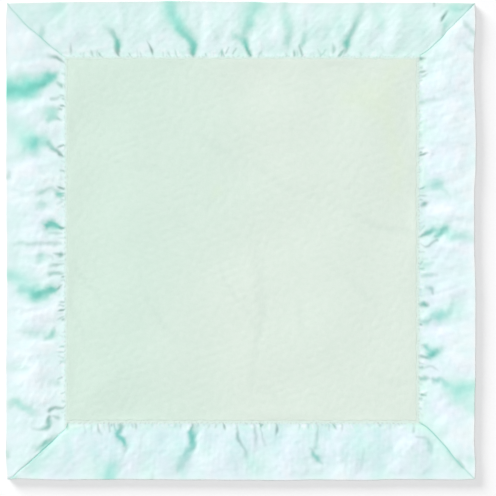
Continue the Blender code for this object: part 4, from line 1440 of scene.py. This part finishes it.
def plush_panel(front, look, surface, seed, stray_seed):
    """A closed panel: thin inside the binding, swollen in the open middle."""
    x_edges = (LOW.x, HIGH.x, TRIM_LEFT, TRIM_RIGHT)
    y_edges = (LOW.y, HIGH.y, TRIM_BOTTOM, TRIM_TOP)
    step = look.step if front else BACK_PANEL_STEPS * look.step
    xs, ys = panel_lines(x_edges, step), panel_lines(y_edges, step)
    x, y = np.meshgrid(xs, ys)
    inside = np.minimum(*np.meshgrid(clear_of_binding(xs, x_edges), clear_of_binding(ys, y_edges)))
    flat = drawn_along(np.stack([x, y], axis=-1), stray_seed)
    open_share = smooth(inside / PLUSH_RISE_RUN)
    if front:
        upper = PANEL_TOP + pile_rise(inside)
        upper += look.wave * chance_waves(flat, *PLUSH_WAVES, seed) * open_share
        upper += PILE_ROUGHNESS * chance_waves(flat, *PLUSH_TUFTS, seed + 1) * open_share
        # The creases' painted shade, with their depth
        dark, low = plush_marks(flat, PLUSH_CREASES, seed)
        sunned = plush_marks(flat, PLUSH_SUNNED, seed)[0]
        upper -= low * open_share
        under = FRONT_PANEL_REST + CLEARANCE * open_share
    else:
        dark = sunned = np.zeros(x.shape)
        upper = BACK_PANEL_REST + PANEL_PRESSED + CLEARANCE * open_share
        under = BACK_PANEL_REST * (1 - open_share)
    points, faces = closed_shell(flat, upper, under)
    values = {
        name: np.stack([strength, np.zeros(x.shape)])
        for name, strength in (("crease", dark), ("sunned", np.clip(sunned, 0, 1)))
    }
    return mesh_piece("plush_front" if front else "plush_back", points, faces, values, surface)


class BLANKET_OT_plush(bpy.types.Operator):
    """Make the front and back plush panels"""

    bl_idname = "blanket.plush"
    bl_label = "Plush Panels"

    def execute(self, context):
        look, seed = context.scene.plush_look, context.scene.stage_look.seed
        surface = plush_paint(look)
        for front in (False, True):
            panel = plush_panel(front, look, surface, seed + 40, seed)
            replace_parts(panel, "front_panel" if front else "back_panel")
            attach(panel, BODY)
        return {"FINISHED"}


def one_stitch(new, link, given):
    """The nodes of a single stitch: a short arc of thread."""
    arc = new("GeometryNodeCurveArc")
    arc.mode = "POINTS"
    arc.inputs["Resolution"].default_value = STITCH_ARC_POINTS
    for point, size, axis, factor in (
        ("Start", "Stitch Length", "Z", -0.5), ("Middle", "Thread Radius", "Y", STITCH_ARC),
        ("End", "Stitch Length", "Z", 0.5),
    ):
        place, scaled = new("ShaderNodeCombineXYZ"), new("ShaderNodeMath")
        scaled.operation = "MULTIPLY"
        scaled.inputs[1].default_value = factor
        link(given.outputs[size], scaled.inputs[0])
        link(scaled.outputs[0], place.inputs[axis])
        link(place.outputs[0], arc.inputs[point])
    section, tube = new("GeometryNodeCurvePrimitiveCircle"), new("GeometryNodeCurveToMesh")
    section.inputs["Resolution"].default_value = THREAD_SIDES
    link(given.outputs["Thread Radius"], section.inputs["Radius"])
    link(arc.outputs["Curve"], tube.inputs["Curve"])
    link(section.outputs["Curve"], tube.inputs["Profile Curve"])
    tube.inputs["Fill Caps"].default_value = True
    return tube.outputs["Mesh"]


def stitch_tree(name):
    """Geometry nodes that lay one stitch at every pitch along a curve."""
    tree = bpy.data.node_groups.new(name, "GeometryNodeTree")
    tree.interface.new_socket("Geometry", in_out="INPUT", socket_type="NodeSocketGeometry")
    for label, kind in (
        ("Pitch", "NodeSocketFloat"), ("Stitch Length", "NodeSocketFloat"),
        ("Thread Radius", "NodeSocketFloat"), ("Cross Turn", "NodeSocketFloat"),
        ("Thread", "NodeSocketMaterial"),
    ):
        tree.interface.new_socket(label, in_out="INPUT", socket_type=kind)
    tree.interface.new_socket("Geometry", in_out="OUTPUT", socket_type="NodeSocketGeometry")
    new, link = tree.nodes.new, tree.links.new
    given, result = new("NodeGroupInput"), new("NodeGroupOutput")
    spaced = new("GeometryNodeCurveToPoints")
    spaced.mode = "LENGTH"
    link(given.outputs["Geometry"], spaced.inputs["Curve"])
    link(given.outputs["Pitch"], spaced.inputs["Length"])
    cross, turned = new("FunctionNodeAxisAngleToRotation"), new("FunctionNodeRotateRotation")
    turned.rotation_space = "LOCAL"
    cross.inputs["Axis"].default_value = (0, 1, 0)
    link(given.outputs["Cross Turn"], cross.inputs["Angle"])
    link(spaced.outputs["Rotation"], turned.inputs["Rotation"])
    link(cross.outputs["Rotation"], turned.inputs["Rotate By"])
    copies = new("GeometryNodeInstanceOnPoints")
    link(spaced.outputs["Points"], copies.inputs["Points"])
    link(one_stitch(new, link, given), copies.inputs["Instance"])
    link(turned.outputs["Rotation"], copies.inputs["Rotation"])
    real, paint = new("GeometryNodeRealizeInstances"), new("GeometryNodeSetMaterial")
    link(copies.outputs["Instances"], real.inputs["Geometry"])
    link(real.outputs["Geometry"], paint.inputs["Geometry"])
    link(given.outputs["Thread"], paint.inputs["Material"])
    link(paint.outputs["Geometry"], result.inputs["Geometry"])
    return tree


def stitched(name, routes, closed, tree, sizes, surface):
    """Rows of stitches along their routes, as one plain mesh."""
    curve = bpy.data.curves.new(name + "_route", "CURVE")
    curve.dimensions = "3D"
    curve.twist_mode = "Z_UP"
    for route in routes:
        spline = curve.splines.new("POLY")
        spline.points.add(len(route) - 1)
        for point, place in zip(spline.points, route):
            point.co = (*place, 1.0)
        spline.use_cyclic_u = closed
    guide = placed(name + "_route", curve)
    rows = guide.modifiers.new("stitches", "NODES")
    rows.node_group = tree
    for item in tree.interface.items_tree:
        if item.in_out == "INPUT" and item.name in sizes:
            rows[item.identifier] = sizes[item.name]
        elif item.in_out == "INPUT" and item.name == "Thread":
            rows[item.identifier] = surface
    bpy.context.view_layer.update()
    ready = guide.evaluated_get(bpy.context.evaluated_depsgraph_get())
    mesh = bpy.data.meshes.new_from_object(ready)
    bpy.data.objects.remove(guide)
    mesh.name = name
    mesh.shade_smooth()
    made = placed(name, mesh)
    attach(made, BODY)
    return made


def seam_routes(corner, loft):
    """Where a corner seam's stitches run: just under the front leaf, and over the back one."""
    level, upright = (side for side in SIDES if corner in side.seams)
    across = np.linspace(SEAM_START, level.trim * SEAM_END_SHARE, SEAM_POINTS)
    along = seam_distance(level, corner, upright.trim, across)
    if corner == level.seams[1]:
        along = level.length - along
    share = (across - FOLD_REACH) / (level.trim - HEM_LIP - FOLD_REACH)
    front = crown(share, 0, loft) - SEAM_DEPTH
    back = np.full(len(across), SATIN_THICKNESS + CLEARANCE + THREAD_DIAMETER)
    return [np.column_stack([on_side(level, along, across), height]) for height in (front, back)]


def stitch_loop(height):
    """The stitch line all round, with a small turn at each corner."""
    inset = CORNER_RADIUS - HEM_LIP
    left, right = LOW.x + TRIM_LEFT + inset, HIGH.x - TRIM_RIGHT - inset
    low, high = LOW.y + TRIM_BOTTOM + inset, HIGH.y - TRIM_TOP - inset
    route = []
    for quarter, (x, y) in enumerate(((right, high), (left, high), (left, low), (right, low))):
        for step in range(CORNER_STEPS + 1):
            turn = math.pi / 2 * (quarter + step / CORNER_STEPS)
            way = (math.cos(turn), math.sin(turn))
            route.append((x + CORNER_RADIUS * way[0], y + CORNER_RADIUS * way[1], height))
    return route


class BLANKET_OT_topstitching(bpy.types.Operator):
    """Sew the stitch line, on the front and on the back"""

    bl_idname = "blanket.topstitching"
    bl_label = "Topstitching"

    def execute(self, context):
        look = context.scene.stitch_look
        surface, tree = thread_paint(look), stitch_tree("stitch_row")
        sizes = {
            "Pitch": look.pitch, "Stitch Length": look.pitch * STITCH_SHARE,
            "Thread Radius": THREAD_DIAMETER / 2, "Cross Turn": 0.0,
        }
        for node, height in (
            ("topstitch_needle_thread", STITCH_TOP - STITCH_SUNK),
            ("topstitch_bobbin_thread", BACK_RISE - BOBBIN_SUNK),
        ):
            name = node.replace("thread", "stitches")
            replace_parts(stitched(name, [stitch_loop(height)], True, tree, sizes, surface), node)
        return {"FINISHED"}


class BLANKET_OT_corner_seams(bpy.types.Operator):
    """Sew the four mitred corners, under the satin"""

    bl_idname = "blanket.corner_seams"
    bl_label = "Corner Seams"

    def execute(self, context):
        look, loft = context.scene.stitch_look, context.scene.satin_look.loft
        surface, tree = thread_paint(look), stitch_tree("seam_row")
        sizes = {
            "Pitch": look.seam_pitch, "Stitch Length": look.seam_pitch * SEAM_STITCH_SHARE,
            "Thread Radius": THREAD_DIAMETER / 2, "Cross Turn": SEAM_STITCH_TURN,
        }
        for corner in SEAMS:
            routes = seam_routes(corner, loft)
            row = stitched(f"mitre_stitches_{corner}", routes, False, tree, sizes, surface)
            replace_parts(row, f"mitre_stitching_{corner}")
        return {"FINISHED"}


def aim(place, target):
    return (Vector(target) - Vector(place)).to_track_quat("-Z", "Y").to_euler()


def soft_light(name, kind, place, power, size):
    """A wide lamp that looks at the blanket: size is its width, or the sky's share it fills."""
    lamp = bpy.data.lights.new(name, kind)
    lamp.energy = power
    if kind == "SUN":
        lamp.angle = size
    else:
        lamp.size = size
    made = placed(name, lamp)
    made.location, made.rotation_euler = place, aim(place, (0, 0, 0))


def camera_only(paint):
    """1 for what the camera sees straight or in a gloss, else 0."""
    path = paint.add("ShaderNodeLightPath")
    seen = paint.wire(path, "Is Camera Ray") + paint.wire(path, "Is Glossy Ray")
    return paint.clamped(seen + paint.wire(path, "Is Transmission Ray"))


def white_floor():
    mesh = bpy.data.meshes.new("floor")
    corners = [(x * FLOOR_REACH, y * FLOOR_REACH) for x, y in ((-1, -1), (1, -1), (1, 1), (-1, 1))]
    mesh.from_pydata([(*corner, -FLOOR_DROP) for corner in corners], [], [(0, 1, 2, 3)])
    paint = Paint("white_floor")
    matt = paint.add("ShaderNodeBsdfDiffuse", {}, {"Color": FLOOR_COLOUR})
    strength = camera_only(paint) * FLOOR_GLOW
    glow = paint.add("ShaderNodeEmission", {}, {"Color": WHITE, "Strength": strength})
    both = paint.add("ShaderNodeAddShader")
    paint.links.new(matt.outputs[0], both.inputs[0])
    paint.links.new(glow.outputs[0], both.inputs[1])
    out = paint.add("ShaderNodeOutputMaterial")
    paint.links.new(both.outputs[0], out.inputs["Surface"])
    mesh.materials.append(paint.material)
    floor = placed("floor", mesh)


def white_world():
    world = bpy.data.worlds.new("studio")
    bpy.context.scene.world = world
    world.use_nodes = True
    nodes, links = world.node_tree.nodes, world.node_tree.links
    nodes.clear()
    path, out = nodes.new("ShaderNodeLightPath"), nodes.new("ShaderNodeOutputWorld")
    dim, white = nodes.new("ShaderNodeBackground"), nodes.new("ShaderNodeBackground")
    dim.inputs["Color"].default_value = (*WORLD_COLOUR, 1.0)
    dim.inputs["Strength"].default_value = WORLD_LIGHT
    white.inputs["Strength"].default_value = 1.0
    choose = nodes.new("ShaderNodeMixShader")
    links.new(path.outputs["Is Camera Ray"], choose.inputs[0])
    links.new(dim.outputs[0], choose.inputs[1])
    links.new(white.outputs[0], choose.inputs[2])
    links.new(choose.outputs[0], out.inputs["Surface"])


class BLANKET_OT_stage(bpy.types.Operator):
    """Set the white floor, the soft lights and the camera above"""

    bl_idname = "blanket.stage"
    bl_label = "Studio Stage"

    def execute(self, context):
        look = context.scene.stage_look
        white_floor()
        white_world()
        soft_light("key_light", "SUN", KEY_PLACE, look.key, KEY_ANGLE)
        soft_light("overhead_light", "AREA", OVERHEAD_PLACE, look.overhead, OVERHEAD_WIDTH)
        camera = placed("camera", bpy.data.cameras.new("camera"))
        camera.data.lens = look.lens
        camera.location = (
            *from_picture((PICTURE / 2, PICTURE / 2)),
            FOLD_RADIUS + look.lens / camera.data.sensor_width * PICTURE * PER_PIXEL,
        )
        context.scene.camera = camera
        context.scene.view_settings.view_transform = "Standard"
        return {"FINISHED"}


class BLANKET_PT_tools(bpy.types.Panel):
    """The blanket's makers and their sizes"""

    bl_label = "Comfort Blanket"
    bl_idname = "BLANKET_PT_tools"
    bl_space_type = "VIEW_3D"
    bl_region_type = "UI"
    bl_category = "Blanket"

    def draw(self, context):
        for maker in OPERATORS:
            self.layout.operator(maker.bl_idname)
        for group in LOOKS:
            box = self.layout.box()
            for field in LOOKS[group].__annotations__:
                box.prop(getattr(context.scene, group), field)


LOOKS = {
    "satin_look": SatinLook, "plush_look": PlushLook, "stitch_look": StitchLook,
    "stage_look": StageLook,
}
OPERATORS = (
    BLANKET_OT_stage, BLANKET_OT_plush, BLANKET_OT_satin, BLANKET_OT_topstitching,
    BLANKET_OT_corner_seams,
)
CLASSES = (*LOOKS.values(), *OPERATORS, BLANKET_PT_tools)


def register():
    for made in CLASSES:
        bpy.utils.register_class(made)
    for name, group in LOOKS.items():
        setattr(bpy.types.Scene, name, PointerProperty(type=group))


def unregister():
    for name in LOOKS:
        delattr(bpy.types.Scene, name)
    for made in reversed(CLASSES):
        bpy.utils.unregister_class(made)


def main():
    register()
    bpy.ops.blanket.stage()
    bpy.ops.blanket.plush()
    bpy.ops.blanket.satin()
    bpy.ops.blanket.topstitching()
    bpy.ops.blanket.corner_seams()


if __name__ == "__main__":
    main()
